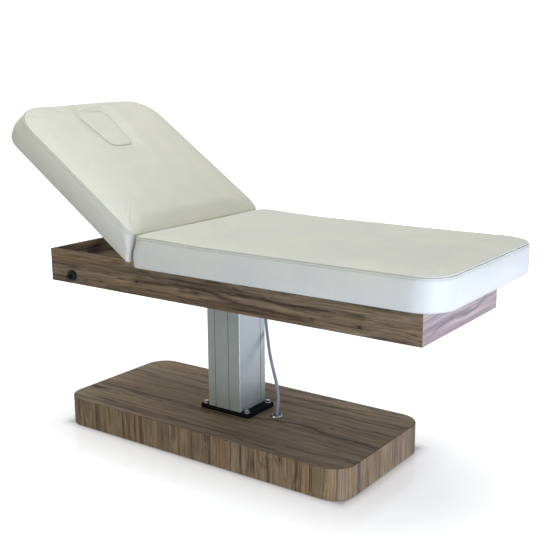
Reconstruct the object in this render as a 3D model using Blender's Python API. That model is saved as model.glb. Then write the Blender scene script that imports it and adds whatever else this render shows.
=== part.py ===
"""Facial treatment bed: plinth base, lifting column, tray frame and a two-section mattress.

Metres, +Z up, floor at z = 0.  The origin is on the floor under the column.
The head end points to -X, the foot end to +X, and -Y is the side with the release knob.
"""
import bpy
import bmesh
import math
from mathutils import Vector

GAP = 0.0003                      # between pieces that touch
PAST = 0.010                      # how far a cutter runs past the face it cuts

# ---- plinth base ----
BASE_LENGTH = 1.308
BASE_WIDTH = 0.583
BASE_TOP = 0.114
BASE_CORNER = 0.087
SKIRT_BOTTOM = 0.003
SKIRT_WALL = 0.004
DECK_THICKNESS = 0.022
BASE_RAIL_HALF_LENGTH = 0.58
BASE_RAIL_Y = 0.17
BASE_RAIL_SIZE = 0.050
BASE_RAIL_WALL = 0.003
FOOT_X = 0.53
FOOT_PAD_RADIUS = 0.024
FOOT_STEM_RADIUS = 0.006
CABLE_HOLE_X = 0.187
CABLE_HOLE_RADIUS = 0.017
MOUNT_PLATE_HALF_LENGTH = 0.14
MOUNT_PLATE_THICKNESS = 0.008
INLET_X = 0.335
INLET_Z = 0.055
INLET_BODY_HALF = (0.0237, 0.0137)
INLET_FLANGE_HALF = (0.029, 0.019)
INLET_SOCKET_HALF = (0.012, 0.008)
INLET_HOLE_MARGIN = 0.0008
INLET_DEPTH = 0.024
POWER_UNIT_LOW = (0.250, -0.060, 0.012)
POWER_UNIT_HIGH = (0.440, 0.060, 0.088)

# ---- lifting column ----
FLANGE_HALF = (0.114, 0.085)
FLANGE_THICKNESS = 0.016
BOLT_X = 0.097
BOLT_Y = 0.068
BOLT_SHANK_RADIUS = 0.0055
COLUMN_HALF = (0.0765, 0.0808)
COLUMN_CAVITY = (0.0705, 0.0748)
COLUMN_TOP = 0.598
INNER_HALF = (0.0665, 0.0708)
INNER_WALL = 0.004
INNER_BOTTOM = 0.136
HEAD_PLATE_HALF = (0.100, 0.130)
HEAD_PLATE_Z = 0.600
HEAD_PLATE_THICKNESS = 0.010
SCREW_RADIUS = 0.008
GLIDE_PAD_Z = (0.500, 0.594)
GLIDE_PAD_HALF_WIDTH = 0.030

# ---- tray frame ----
TRAY_HEAD_X = -0.695
TRAY_FOOT_X = 0.9195
TRAY_HALF_WIDTH = 0.284
TRAY_BOTTOM = 0.585
TRAY_TOP = 0.7125
PANEL = 0.018
TRAY_RAIL_Y = 0.11
TRAY_RAIL_SIZE = 0.040
TRAY_RAIL_WALL = 0.0025
BEARER_X = (0.235, 0.780)
BEARER_WIDTH = 0.040
BRACKET_HALF_LENGTH = 0.032
BRACKET_BOTTOM = 0.660
BRACKET_THICKNESS = 0.0057
STUB_END_Y = 0.236
CONTROL_BOX_LOW = (-0.060, 0.1306, 0.612)
CONTROL_BOX_HIGH = (0.140, 0.252, 0.668)

# ---- mattress ----
MATTRESS_HALF_WIDTH = 0.380
MATTRESS_CORNER = 0.105
MATTRESS_THICKNESS = 0.112
MATTRESS_BOTTOM = 0.713
SEAT_HEAD_X = -0.170
SEAT_FOOT_X = 1.023
HINGE_END_CORNER = 0.020
MITRE = math.tan(math.radians(36.0))
BOARD = 0.015
BOARD_INSET = 0.012

# ---- backrest and its gas spring ----
PIVOT_X = -0.1786
PIVOT_Z = 0.695
BACK_ANGLE = math.radians(34.4)       # above flat, at rest
LEVER_DOWN_ANGLE = math.radians(32.5)     # backrest angle at which the lever hangs straight down
BACK_LENGTH = 0.820
BACK_START = 0.026
BACK_UNDERSIDE = MATTRESS_BOTTOM - PIVOT_Z
TUBE_RADIUS = 0.012
TUBE_BORE = 0.0086
STUB_RADIUS = 0.0083
ARM_Y = 0.20
ARM_HALF_WIDTH = 0.020
ARM_REACH = 0.430
TORQUE_TUBE_HALF_LENGTH = 0.2588
LEVER_LENGTH = 0.080
SLOT_FROM, SLOT_TO = 0.0665, 0.0865
SPRING_FRONT, SPRING_REAR = -0.075, 0.215
SPRING_RADIUS = 0.011
SPRING_BORE = 0.0088
SPRING_DROP = 0.070               # spring axis below the pivot
SPRING_Z = PIVOT_Z - SPRING_DROP
PIN_RADIUS = 0.005
SLOT_RADIUS = 0.0069
LEVER_HALF_THICKNESS = 0.004

# ---- face plug, corners from the head end round ----
PLUG_CORNERS = [(-0.762, -0.0835), (-0.540, -0.0590), (-0.540, 0.0590), (-0.762, 0.0835)]
PLUG_RADII = [0.026, 0.034, 0.034, 0.026]
PLUG_CLEARANCE = 0.0015
PLUG_BOTTOM = 0.036
PLUG_TOP = 0.127

# ---- release knob ----
KNOB_X = -0.577
KNOB_Z = 0.618
KNOB_RADIUS = 0.0205
KNOB_HOLE_RADIUS = 0.0105

# ---- cables ----
GLAND = (0.040, 0.160)
LIFT_CABLE_RADIUS = 0.006
LIFT_CABLE_ROUTE = [(0.2492, 0.0, 0.050), (0.2300, 0.0, 0.0505), (0.2070, 0.0, 0.060),
                    (0.1905, 0.0, 0.080), (0.1870, 0.0, 0.114), (0.1900, 0.0020, 0.150),
                    (0.1880, 0.0085, 0.190), (0.1740, 0.0200, 0.230), (0.1490, 0.0350, 0.275),
                    (0.1175, 0.0560, 0.330), (0.0910, 0.0790, 0.385), (0.0680, 0.1010, 0.435),
                    (0.0500, 0.1220, 0.485), (0.0410, 0.1420, 0.530), (0.0395, 0.1560, 0.562),
                    (0.0400, 0.1600, 0.5912)]
RELEASE_CABLE_RADIUS = 0.003
RELEASE_CABLE_ROUTE = [(-0.540, -0.252, 0.640), (-0.505, -0.252, 0.646), (-0.430, -0.254, 0.651),
                       (-0.300, -0.255, 0.654), (-0.150, -0.255, 0.655), (0.000, -0.254, 0.656),
                       (0.090, -0.248, 0.657), (0.150, -0.228, 0.6575), (0.187, -0.190, 0.658),
                       (0.1990, -0.145, 0.658), (0.2030, -0.105, 0.656), (0.2080, -0.070, 0.650),
                       (0.2160, -0.048, 0.642), (0.2245, -0.032, 0.634), (0.2280, -0.0185, 0.631)]


# ------------------------------------------------------------------ helpers

def clear_scene():
    for old in list(bpy.data.objects):
        bpy.data.objects.remove(old, do_unlink=True)


def material(name, colour, roughness, metallic=0.0):
    made = bpy.data.materials.new(name)
    made.use_nodes = True
    shader = made.node_tree.nodes["Principled BSDF"]
    shader.inputs["Base Color"].default_value = (*colour, 1.0)
    shader.inputs["Roughness"].default_value = roughness
    shader.inputs["Metallic"].default_value = metallic
    return made


def circle(radius, segments, centre=(0.0, 0.0)):
    """Points round a circle, anticlockwise."""
    turn = 2.0 * math.pi / segments
    return [(centre[0] + radius * math.cos(turn * i), centre[1] + radius * math.sin(turn * i))
            for i in range(segments)]


def rounded_polygon(corners, radii, segments):
    """Anticlockwise outline whose corners are arcs that touch both edges."""
    points = []
    count = len(corners)
    for i, corner in enumerate(corners):
        here = Vector(corner)
        back = (Vector(corners[i - 1]) - here).normalized()
        ahead = (Vector(corners[(i + 1) % count]) - here).normalized()
        half = back.angle(ahead) / 2.0
        radius = radii[i]
        centre = here + (back + ahead).normalized() * (radius / math.sin(half))
        start = here + back * (radius / math.tan(half)) - centre
        sweep = math.pi - 2.0 * half
        for step in range(segments + 1):
            angle = sweep * step / segments
            cos_a, sin_a = math.cos(angle), math.sin(angle)
            turned = (start.x * cos_a - start.y * sin_a, start.x * sin_a + start.y * cos_a)
            points.append((centre.x + turned[0], centre.y + turned[1]))
    return points


def rectangle(x_low, x_high, y_low, y_high, radii=None, segments=1):
    corners = [(x_low, y_low), (x_high, y_low), (x_high, y_high), (x_low, y_high)]
    if radii is None:
        return corners
    return rounded_polygon(corners, radii, segments)


def capsule(start, end, radius_start, radius_end, segments):
    """Outline round two circles, anticlockwise, with half a turn at each end."""
    direction = math.atan2(end[1] - start[1], end[0] - start[0])
    points = []
    for centre, radius, first in ((end, radius_end, -0.5), (start, radius_start, 0.5)):
        for step in range(segments + 1):
            angle = direction + math.pi * (first + step / segments)
            points.append((centre[0] + radius * math.cos(angle), centre[1] + radius * math.sin(angle)))
    return points


def new_object(name, mesh_maker, surface=None, parent=None, smooth_angle=None):
    """Run mesh_maker on an empty bmesh and make an object of the result."""
    shape = bmesh.new()
    mesh_maker(shape)
    bmesh.ops.recalc_face_normals(shape, faces=shape.faces)
    mesh = bpy.data.meshes.new(name)
    shape.to_mesh(mesh)
    shape.free()
    made = bpy.data.objects.new(name, mesh)
    bpy.context.scene.collection.objects.link(made)
    if surface is not None:
        mesh.materials.append(surface)
    if parent is not None:
        made.parent = parent
    if smooth_angle is not None:
        mesh.shade_smooth()
        mesh.set_sharp_from_angle(angle=math.radians(smooth_angle))
    return made


def place(point, up):
    """Turn outline coordinates (u, v) at height h into x, y, z for the given extrusion axis."""
    u, v, h = point
    if up == "X":
        return (h, u, v)
    if up == "Y":
        return (u, h, v)
    return (u, v, h)


def loft(name, rings, surface=None, up="Z", parent=None, smooth_angle=None, closed=False):
    """Skin rings of equal point count.  Each ring is (outline, height).  closed joins last to first."""
    def build(shape):
        loops = [[shape.verts.new(place((u, v, height), up)) for u, v in outline]
                 for outline, height in rings]
        count = len(loops[0])
        pairs = list(zip(loops[:-1], loops[1:]))
        if closed:
            pairs.append((loops[-1], loops[0]))
        for low, high in pairs:
            for i in range(count):
                j = (i + 1) % count
                shape.faces.new((low[i], low[j], high[j], high[i]))
        if not closed:
            shape.faces.new(list(reversed(loops[0])))
            shape.faces.new(loops[-1])
    return new_object(name, build, surface, parent, smooth_angle)


def prism(name, outline, low, high, surface=None, up="Z", parent=None, smooth_angle=None):
    return loft(name, [(outline, low), (outline, high)], surface, up, parent, smooth_angle)


def tube(name, outer, inner, low, high, surface=None, up="Z", parent=None, smooth_angle=None):
    """A prism with a hole all the way through; both outlines have the same number of points."""
    rings = [(outer, low), (outer, high), (inner, high), (inner, low)]
    return loft(name, rings, surface, up, parent, smooth_angle, closed=True)


def turned(name, profile, segments, surface=None, up="Z", centre=(0.0, 0.0), parent=None, closed=False):
    """Turn a profile of (radius, height) pairs round an axis; closed makes it a hollow ring."""
    rings = [(circle(radius, segments, centre), height) for radius, height in profile]
    return loft(name, rings, surface, up, parent, 35.0, closed)


def box(name, low, high, surface=None, parent=None):
    return prism(name, rectangle(low[0], high[0], low[1], high[1]), low[2], high[2], surface, "Z", parent)


def hide_helper(helper):
    helper.hide_render = True
    helper.display_type = "WIRE"


def combine(target, helper, operation):
    hide_helper(helper)
    modifier = target.modifiers.new(operation.lower() + "_" + helper.name, "BOOLEAN")
    modifier.operation = operation
    modifier.solver = "EXACT"
    modifier.object = helper


def drill(target, centre, radius, low, high, up="Z", segments=16, parent=None):
    cutter = turned("cut_" + target.name, [(radius, low), (radius, high)], segments, None, up, centre,
                    parent)
    combine(target, cutter, "DIFFERENCE")


def pivot_empty(name, location, rotation_y=0.0):
    empty = bpy.data.objects.new(name, None)
    bpy.context.scene.collection.objects.link(empty)
    empty.location = location
    empty.rotation_euler = (0.0, rotation_y, 0.0)
    return empty


# ------------------------------------------------------------------ plinth base

def build_base(wood, steel, black, chrome):
    half_x, half_y = BASE_LENGTH / 2.0, BASE_WIDTH / 2.0
    corner_segments = 10

    def plinth_outline(inset):
        radius = BASE_CORNER - inset
        return rectangle(inset - half_x, half_x - inset, inset - half_y, half_y - inset,
                         [radius] * 4, corner_segments)

    skirt = tube("base_skirt", plinth_outline(0.0), plinth_outline(SKIRT_WALL),
                 SKIRT_BOTTOM, BASE_TOP, wood, smooth_angle=35.0)
    hole_half = [size + INLET_HOLE_MARGIN for size in INLET_BODY_HALF]
    inlet_hole = box("cut_inlet", (INLET_X - hole_half[0], half_y - PAST, INLET_Z - hole_half[1]),
                     (INLET_X + hole_half[0], half_y + PAST, INLET_Z + hole_half[1]))
    combine(skirt, inlet_hole, "DIFFERENCE")

    deck_bottom = BASE_TOP - DECK_THICKNESS
    deck = prism("base_deck", plinth_outline(SKIRT_WALL + GAP), deck_bottom, BASE_TOP, wood,
                 smooth_angle=35.0)
    for x in (-BOLT_X, BOLT_X):
        for y in (-BOLT_Y, BOLT_Y):
            drill(deck, (x, y), BOLT_SHANK_RADIUS + GAP, deck_bottom - PAST, BASE_TOP + PAST)
    drill(deck, (CABLE_HOLE_X, 0.0), CABLE_HOLE_RADIUS, deck_bottom - PAST, BASE_TOP + PAST)

    rail_top = deck_bottom - GAP
    rail_bottom = rail_top - BASE_RAIL_SIZE
    half_rail = BASE_RAIL_SIZE / 2.0
    for side, sign in (("near", -1.0), ("far", 1.0)):
        y = sign * BASE_RAIL_Y
        outer = rectangle(y - half_rail, y + half_rail, rail_bottom, rail_top)
        bore = half_rail - BASE_RAIL_WALL
        inner = rectangle(y - bore, y + bore, rail_bottom + BASE_RAIL_WALL, rail_top - BASE_RAIL_WALL)
        rail = tube("base_rail_" + side, outer, inner, -BASE_RAIL_HALF_LENGTH, BASE_RAIL_HALF_LENGTH,
                    steel, "X")
        for end, x in (("head", -FOOT_X), ("foot", FOOT_X)):
            drill(rail, (x, y), FOOT_STEM_RADIUS + GAP, rail_bottom - PAST, rail_bottom + PAST)
            profile = [(FOOT_PAD_RADIUS - 0.002, 0.0), (FOOT_PAD_RADIUS, 0.002), (FOOT_PAD_RADIUS, 0.005),
                       (0.014, 0.010), (FOOT_STEM_RADIUS, 0.012), (FOOT_STEM_RADIUS, rail_bottom + 0.020)]
            turned("levelling_foot_" + end + "_" + side, profile, 16, black, centre=(x, y))

    plate_half_y = BASE_RAIL_Y - half_rail - GAP
    plate_bottom = rail_top - MOUNT_PLATE_THICKNESS
    plate = box("mount_plate", (-MOUNT_PLATE_HALF_LENGTH, -plate_half_y, plate_bottom),
                (MOUNT_PLATE_HALF_LENGTH, plate_half_y, rail_top), steel)
    for x in (-BOLT_X, BOLT_X):
        for y in (-BOLT_Y, BOLT_Y):
            drill(plate, (x, y), BOLT_SHANK_RADIUS + GAP, plate_bottom - PAST, rail_top + PAST)

    box("power_unit", POWER_UNIT_LOW, POWER_UNIT_HIGH, black)
    build_inlet(half_y, black)
    ring_profile = [(0.0165, BASE_TOP + GAP), (0.0225, BASE_TOP + GAP), (0.0230, BASE_TOP + 0.003),
                    (0.0210, BASE_TOP + 0.0075), (0.0180, BASE_TOP + 0.0085), (0.0155, BASE_TOP + 0.0070),
                    (0.0150, BASE_TOP + 0.003)]
    turned("cable_grommet", ring_profile, 24, chrome, centre=(CABLE_HOLE_X, 0.0), closed=True)


def build_inlet(half_y, black):
    """The mains inlet in the far side of the skirt: a body, a flange outside and an open socket."""
    def outline(half):
        return rectangle(INLET_X - half[0], INLET_X + half[0], INLET_Z - half[1], INLET_Z + half[1])

    body, flange = outline(INLET_BODY_HALF), outline(INLET_FLANGE_HALF)
    socket = outline(INLET_SOCKET_HALF)
    back_face = half_y + GAP
    front_face = back_face + 0.0025
    loft("power_inlet", [(body, half_y - INLET_DEPTH), (body, back_face), (flange, back_face),
                         (flange, front_face), (socket, front_face), (socket, half_y - 0.014)], black, "Y")


# ------------------------------------------------------------------ lifting column

def column_outline():
    """Extruded section: two grooves on the near face, a groove and a low step on the foot face.

    The other two faces are the same shapes turned by half a turn.
    """
    half_x, half_y = COLUMN_HALF
    groove, depth, step = 0.0012, 0.0025, 0.0008
    chamfer = 0.0015
    near = [(-half_x + chamfer, -half_y)]
    for centre in (-0.041, 0.023):
        near += [(centre - groove, -half_y), (centre - groove, -half_y + depth),
                 (centre + groove, -half_y + depth), (centre + groove, -half_y)]
    near.append((half_x - chamfer, -half_y))
    foot = [(half_x, -half_y + chamfer), (half_x, -0.001), (half_x - step, 0.0)]
    for y in (0.051 - groove, 0.051 + groove):
        pair = [(half_x - step, y), (half_x - step - depth, y)]
        foot += pair if y < 0.051 else pair[::-1]
    foot.append((half_x - step, half_y - chamfer))
    half_turn = near + foot
    return half_turn + [(-x, -y) for x, y in half_turn]


def hexagonal(across_flats, segments, centre):
    """A hexagon with as many points as a circle of the same segment count."""
    points = []
    for i in range(segments):
        angle = 2.0 * math.pi * i / segments
        from_flat = (angle + math.pi / 6.0) % (math.pi / 3.0) - math.pi / 6.0
        radius = across_flats / 2.0 / math.cos(from_flat)
        points.append((centre[0] + radius * math.cos(angle), centre[1] + radius * math.sin(angle)))
    return points


def build_bolt(name, x, y, seat_z, low_z, chrome):
    segments = 24
    centre = (x, y)
    washer_radius, washer_top = 0.0115, seat_z + 0.0018
    head_flats, head_top = 0.0165, seat_z + 0.0105
    head = hexagonal(head_flats, segments, centre)
    crown = circle(head_flats * 0.46, segments, centre)
    rings = [(circle(BOLT_SHANK_RADIUS, segments, centre), low_z),
             (circle(BOLT_SHANK_RADIUS, segments, centre), seat_z),
             (circle(washer_radius, segments, centre), seat_z),
             (circle(washer_radius, segments, centre), washer_top),
             (head, washer_top), (head, head_top - 0.001), (crown, head_top)]
    return loft(name, rings, chrome, smooth_angle=30.0)


def build_column(aluminium, black, chrome, white, steel, carriage, screw_axis):
    flange_bottom = BASE_TOP + GAP
    flange_top = flange_bottom + FLANGE_THICKNESS
    plan = rectangle(-FLANGE_HALF[0], FLANGE_HALF[0], -FLANGE_HALF[1], FLANGE_HALF[1], [0.006] * 4, 3)
    flange = prism("column_flange", plan, flange_bottom, flange_top, black)
    for x in (-BOLT_X, BOLT_X):
        for y in (-BOLT_Y, BOLT_Y):
            drill(flange, (x, y), BOLT_SHANK_RADIUS + GAP, flange_bottom - PAST, flange_top + PAST)
    names = iter(("head_near", "head_far", "foot_near", "foot_far"))
    for x in (-BOLT_X, BOLT_X):
        for y in (-BOLT_Y, BOLT_Y):
            build_bolt("flange_bolt_" + next(names), x, y, flange_top + GAP, 0.070, chrome)

    foot_z = flange_top + GAP
    outer = prism("column_outer", column_outline(), foot_z, COLUMN_TOP, aluminium)
    cavity = box("cut_column_cavity", (-COLUMN_CAVITY[0], -COLUMN_CAVITY[1], foot_z - PAST),
                 (COLUMN_CAVITY[0], COLUMN_CAVITY[1], COLUMN_TOP + PAST))
    combine(outer, cavity, "DIFFERENCE")

    low, high = GLIDE_PAD_Z
    width = GLIDE_PAD_HALF_WIDTH
    for end, sign in (("head", -1.0), ("foot", 1.0)):
        edges = sorted((sign * (INNER_HALF[0] + GAP), sign * (COLUMN_CAVITY[0] - GAP)))
        box("glide_pad_" + end, (edges[0], -width, low), (edges[1], width, high), white)
    for side, sign in (("near", -1.0), ("far", 1.0)):
        edges = sorted((sign * (INNER_HALF[1] + GAP), sign * (COLUMN_CAVITY[1] - GAP)))
        box("glide_pad_" + side, (-width, edges[0], low), (width, edges[1], high), white)

    motor_profile = [(0.050, foot_z), (0.050, 0.166), (0.042, 0.168), (0.042, 0.243), (0.030, 0.246),
                     (0.018, 0.248), (0.018, 0.255)]
    turned("lift_motor", motor_profile, 24, black)
    turned("lead_screw", [(SCREW_RADIUS - 0.001, 0.2553), (SCREW_RADIUS, 0.257), (SCREW_RADIUS, 0.574),
                          (SCREW_RADIUS - 0.001, 0.575)], 16, steel, parent=screw_axis)

    bore = SCREW_RADIUS + 0.0006
    tube_top = HEAD_PLATE_Z - GAP
    nut_profile = [(bore, 0.268), (0.024, 0.268), (0.024, 0.306), (0.0175, 0.312), (0.0175, tube_top),
                   (0.0125, tube_top), (0.0125, 0.312), (bore, 0.308)]
    turned("push_tube", nut_profile, 20, steel, parent=carriage, closed=True)
    outer = rectangle(-INNER_HALF[0], INNER_HALF[0], -INNER_HALF[1], INNER_HALF[1], [0.006] * 4, 3)
    bore_half = (INNER_HALF[0] - INNER_WALL, INNER_HALF[1] - INNER_WALL)
    hollow = rectangle(-bore_half[0], bore_half[0], -bore_half[1], bore_half[1], [0.002] * 4, 3)
    tube("column_inner", outer, hollow, INNER_BOTTOM, tube_top, aluminium, parent=carriage,
         smooth_angle=35.0)
    box("column_head_plate", (-HEAD_PLATE_HALF[0], -HEAD_PLATE_HALF[1], HEAD_PLATE_Z),
        (HEAD_PLATE_HALF[0], HEAD_PLATE_HALF[1], HEAD_PLATE_Z + HEAD_PLATE_THICKNESS), steel, carriage)


# ------------------------------------------------------------------ tray frame

def build_tray(wood, steel, black, carriage):
    inner_y = TRAY_HALF_WIDTH - PANEL
    mitre_gap = GAP / 2.0 ** 0.5
    for side, sign in (("near", -1.0), ("far", 1.0)):
        outline = [(TRAY_HEAD_X + mitre_gap, sign * TRAY_HALF_WIDTH),
                   (TRAY_FOOT_X - mitre_gap, sign * TRAY_HALF_WIDTH),
                   (TRAY_FOOT_X - PANEL - mitre_gap, sign * inner_y),
                   (TRAY_HEAD_X + PANEL + mitre_gap, sign * inner_y)]
        panel = prism("side_panel_" + side, outline, TRAY_BOTTOM, TRAY_TOP, wood, parent=carriage)
        if side == "near":
            drill(panel, (KNOB_X, KNOB_Z), KNOB_HOLE_RADIUS, -TRAY_HALF_WIDTH - PAST, PAST - inner_y, "Y",
                  20)
    for end, x, inward in (("head", TRAY_HEAD_X, 1.0), ("foot", TRAY_FOOT_X, -1.0)):
        outline = [(x, mitre_gap - TRAY_HALF_WIDTH), (x, TRAY_HALF_WIDTH - mitre_gap),
                   (x + inward * PANEL, inner_y - mitre_gap), (x + inward * PANEL, mitre_gap - inner_y)]
        prism(end + "_panel", outline, TRAY_BOTTOM, TRAY_TOP, wood, parent=carriage)

    rail_low = HEAD_PLATE_Z + HEAD_PLATE_THICKNESS + GAP
    rail_high = rail_low + TRAY_RAIL_SIZE
    half = TRAY_RAIL_SIZE / 2.0
    for side, sign in (("near", -1.0), ("far", 1.0)):
        y = sign * TRAY_RAIL_Y
        outer = rectangle(y - half, y + half, rail_low, rail_high)
        bore = half - TRAY_RAIL_WALL
        inner = rectangle(y - bore, y + bore, rail_low + TRAY_RAIL_WALL, rail_high - TRAY_RAIL_WALL)
        tube("tray_rail_" + side, outer, inner, TRAY_HEAD_X + PANEL + GAP, TRAY_FOOT_X - PANEL - GAP,
             steel, "X", carriage)
    for label, x in zip(("middle", "foot"), BEARER_X):
        box("seat_bearer_" + label, (x - BEARER_WIDTH / 2.0, GAP - inner_y, rail_high + GAP),
            (x + BEARER_WIDTH / 2.0, inner_y - GAP, TRAY_TOP - GAP), steel, carriage)

    for side, sign in (("near", -1.0), ("far", 1.0)):
        plate_outer = sign * (inner_y - GAP)
        plate_inner = plate_outer - sign * BRACKET_THICKNESS
        low, high = sorted((plate_outer, plate_inner))
        bracket = box("hinge_bracket_" + side, (PIVOT_X - BRACKET_HALF_LENGTH, low, BRACKET_BOTTOM),
                      (PIVOT_X + BRACKET_HALF_LENGTH, high, TRAY_TOP - GAP), steel, carriage)
        rooted = plate_inner + sign * BRACKET_THICKNESS / 2.0
        stub = turned("join_stub_" + side, [(STUB_RADIUS, rooted), (STUB_RADIUS, sign * STUB_END_Y)], 20,
                      None, "Y", (PIVOT_X, PIVOT_Z), carriage)
        combine(bracket, stub, "UNION")

    box("control_box", CONTROL_BOX_LOW, CONTROL_BOX_HIGH, black, carriage)
    gland_profile = [(0.0125, 0.5920), (0.0125, 0.6000), (0.0150, 0.6015), (0.0150, 0.6117)]
    turned("cable_gland", gland_profile, 18, black, centre=(GLAND[0], GLAND[1]), parent=carriage)


# ------------------------------------------------------------------ mattress

def pad_rings(x_low, x_high, slope, low, high, corner_low, corner_high):
    """Plan outlines from the underside to the top of a pad.

    x_low and x_high are the ends at the underside.  slope moves the end with the
    small corners back as the height grows; it is positive when that end is x_low.
    """
    edge = 0.010
    rings = []
    for inset, height in ((0.004, low), (0.0, low + 0.004), (0.0, high - edge),
                          (edge * 0.3, high - edge * 0.3), (edge, high)):
        shift = slope * (height - low)
        x_a = x_low + inset + max(shift, 0.0)
        x_b = x_high - inset + min(shift, 0.0)
        half = MATTRESS_HALF_WIDTH - inset
        radii = [corner_low, corner_high, corner_high, corner_low]
        rings.append((rectangle(x_a, x_b, -half, half, radii, 10), height))
    return rings


def build_seat(leather, ply, carriage):
    top = MATTRESS_BOTTOM + MATTRESS_THICKNESS
    cushion = loft("seat_cushion", pad_rings(SEAT_HEAD_X, SEAT_FOOT_X, MITRE, MATTRESS_BOTTOM, top,
                                             HINGE_END_CORNER, MATTRESS_CORNER),
                   leather, parent=carriage, smooth_angle=50.0)
    board_low = (SEAT_HEAD_X + BOARD_INSET, SEAT_FOOT_X - BOARD_INSET)
    half = MATTRESS_HALF_WIDTH - BOARD_INSET
    radii = [0.010, MATTRESS_CORNER - BOARD_INSET, MATTRESS_CORNER - BOARD_INSET, 0.010]

    def outline(grow):
        return rectangle(board_low[0] - grow, board_low[1] + grow, -half - grow, half + grow, radii, 6)

    recess = prism("cut_seat_recess", outline(GAP), MATTRESS_BOTTOM - PAST, MATTRESS_BOTTOM + BOARD + GAP,
                   parent=carriage)
    combine(cushion, recess, "DIFFERENCE")
    prism("seat_board", outline(0.0), MATTRESS_BOTTOM, MATTRESS_BOTTOM + BOARD, ply, parent=carriage)


def plug_outline(grow):
    """The face plug's outline, moved out by grow, or in where grow is negative."""
    middle_x = (PLUG_CORNERS[0][0] + PLUG_CORNERS[1][0]) / 2.0
    corners = [(x + grow * math.copysign(1.0, x - middle_x), y + grow * math.copysign(1.0, y))
               for x, y in PLUG_CORNERS]
    return rounded_polygon(corners, [radius + grow for radius in PLUG_RADII], 5)


def build_backrest(leather, ply, steel, back):
    """All in the backrest's own frame: local X runs to the foot end, local Z is its normal."""
    low = BACK_UNDERSIDE
    top = low + MATTRESS_THICKNESS
    cushion = loft("backrest_cushion", pad_rings(-BACK_LENGTH, -BACK_START, -MITRE, low, top,
                                                 MATTRESS_CORNER, HINGE_END_CORNER),
                   leather, parent=back, smooth_angle=50.0)
    half = MATTRESS_HALF_WIDTH - BOARD_INSET
    board_corner = MATTRESS_CORNER - BOARD_INSET
    radii = [board_corner, 0.010, 0.010, board_corner]

    def outline(grow):
        return rectangle(-BACK_LENGTH + BOARD_INSET - grow, -BACK_START - 0.032 + grow,
                         -half - grow, half + grow, radii, 6)

    recess = prism("cut_back_recess", outline(GAP), low - PAST, low + BOARD + GAP, parent=back)
    combine(cushion, recess, "DIFFERENCE")
    board = prism("backrest_board", outline(0.0), low, low + BOARD, ply, parent=back)
    for pad, name in ((cushion, "cut_cushion_face_hole"), (board, "cut_board_face_hole")):
        hole = prism(name, plug_outline(PLUG_CLEARANCE), low - PAST, top + PAST, parent=back)
        combine(pad, hole, "DIFFERENCE")
    plug_edge = 0.008
    loft("face_plug", [(plug_outline(0.0), PLUG_BOTTOM), (plug_outline(0.0), PLUG_TOP - plug_edge),
                       (plug_outline(-plug_edge * 0.3), PLUG_TOP - plug_edge * 0.3),
                       (plug_outline(-plug_edge), PLUG_TOP)], leather, parent=back, smooth_angle=50.0)

    arm_top = low - GAP
    for side, sign in (("near", -1.0), ("far", 1.0)):
        y = sign * ARM_Y
        box("backrest_arm_" + side, (-ARM_REACH, y - ARM_HALF_WIDTH, TUBE_RADIUS + GAP),
            (0.008, y + ARM_HALF_WIDTH, arm_top), steel, back)
    tube("torque_tube", circle(TUBE_RADIUS, 24), circle(TUBE_BORE, 24), -TORQUE_TUBE_HALF_LENGTH,
         TORQUE_TUBE_HALF_LENGTH, steel, "Y", back, 35.0)

    lean = LEVER_DOWN_ANGLE
    along = (math.sin(lean), -math.cos(lean))

    def on_lever(distance):
        return (along[0] * distance, along[1] * distance)

    lever = prism("backrest_lever", capsule((0.0, 0.0), on_lever(LEVER_LENGTH), 0.019, 0.0165, 10),
                  -LEVER_HALF_THICKNESS, LEVER_HALF_THICKNESS, steel, "Y", back)
    drill(lever, (0.0, 0.0), TUBE_RADIUS + GAP, -PAST, PAST, "Y", 24, back)
    slot_outline = capsule(on_lever(SLOT_FROM), on_lever(SLOT_TO), SLOT_RADIUS, SLOT_RADIUS, 8)
    slot = prism("cut_lever_slot", slot_outline, -PAST, PAST, None, "Y", back)
    combine(lever, slot, "DIFFERENCE")


# ------------------------------------------------------------------ gas spring

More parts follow.
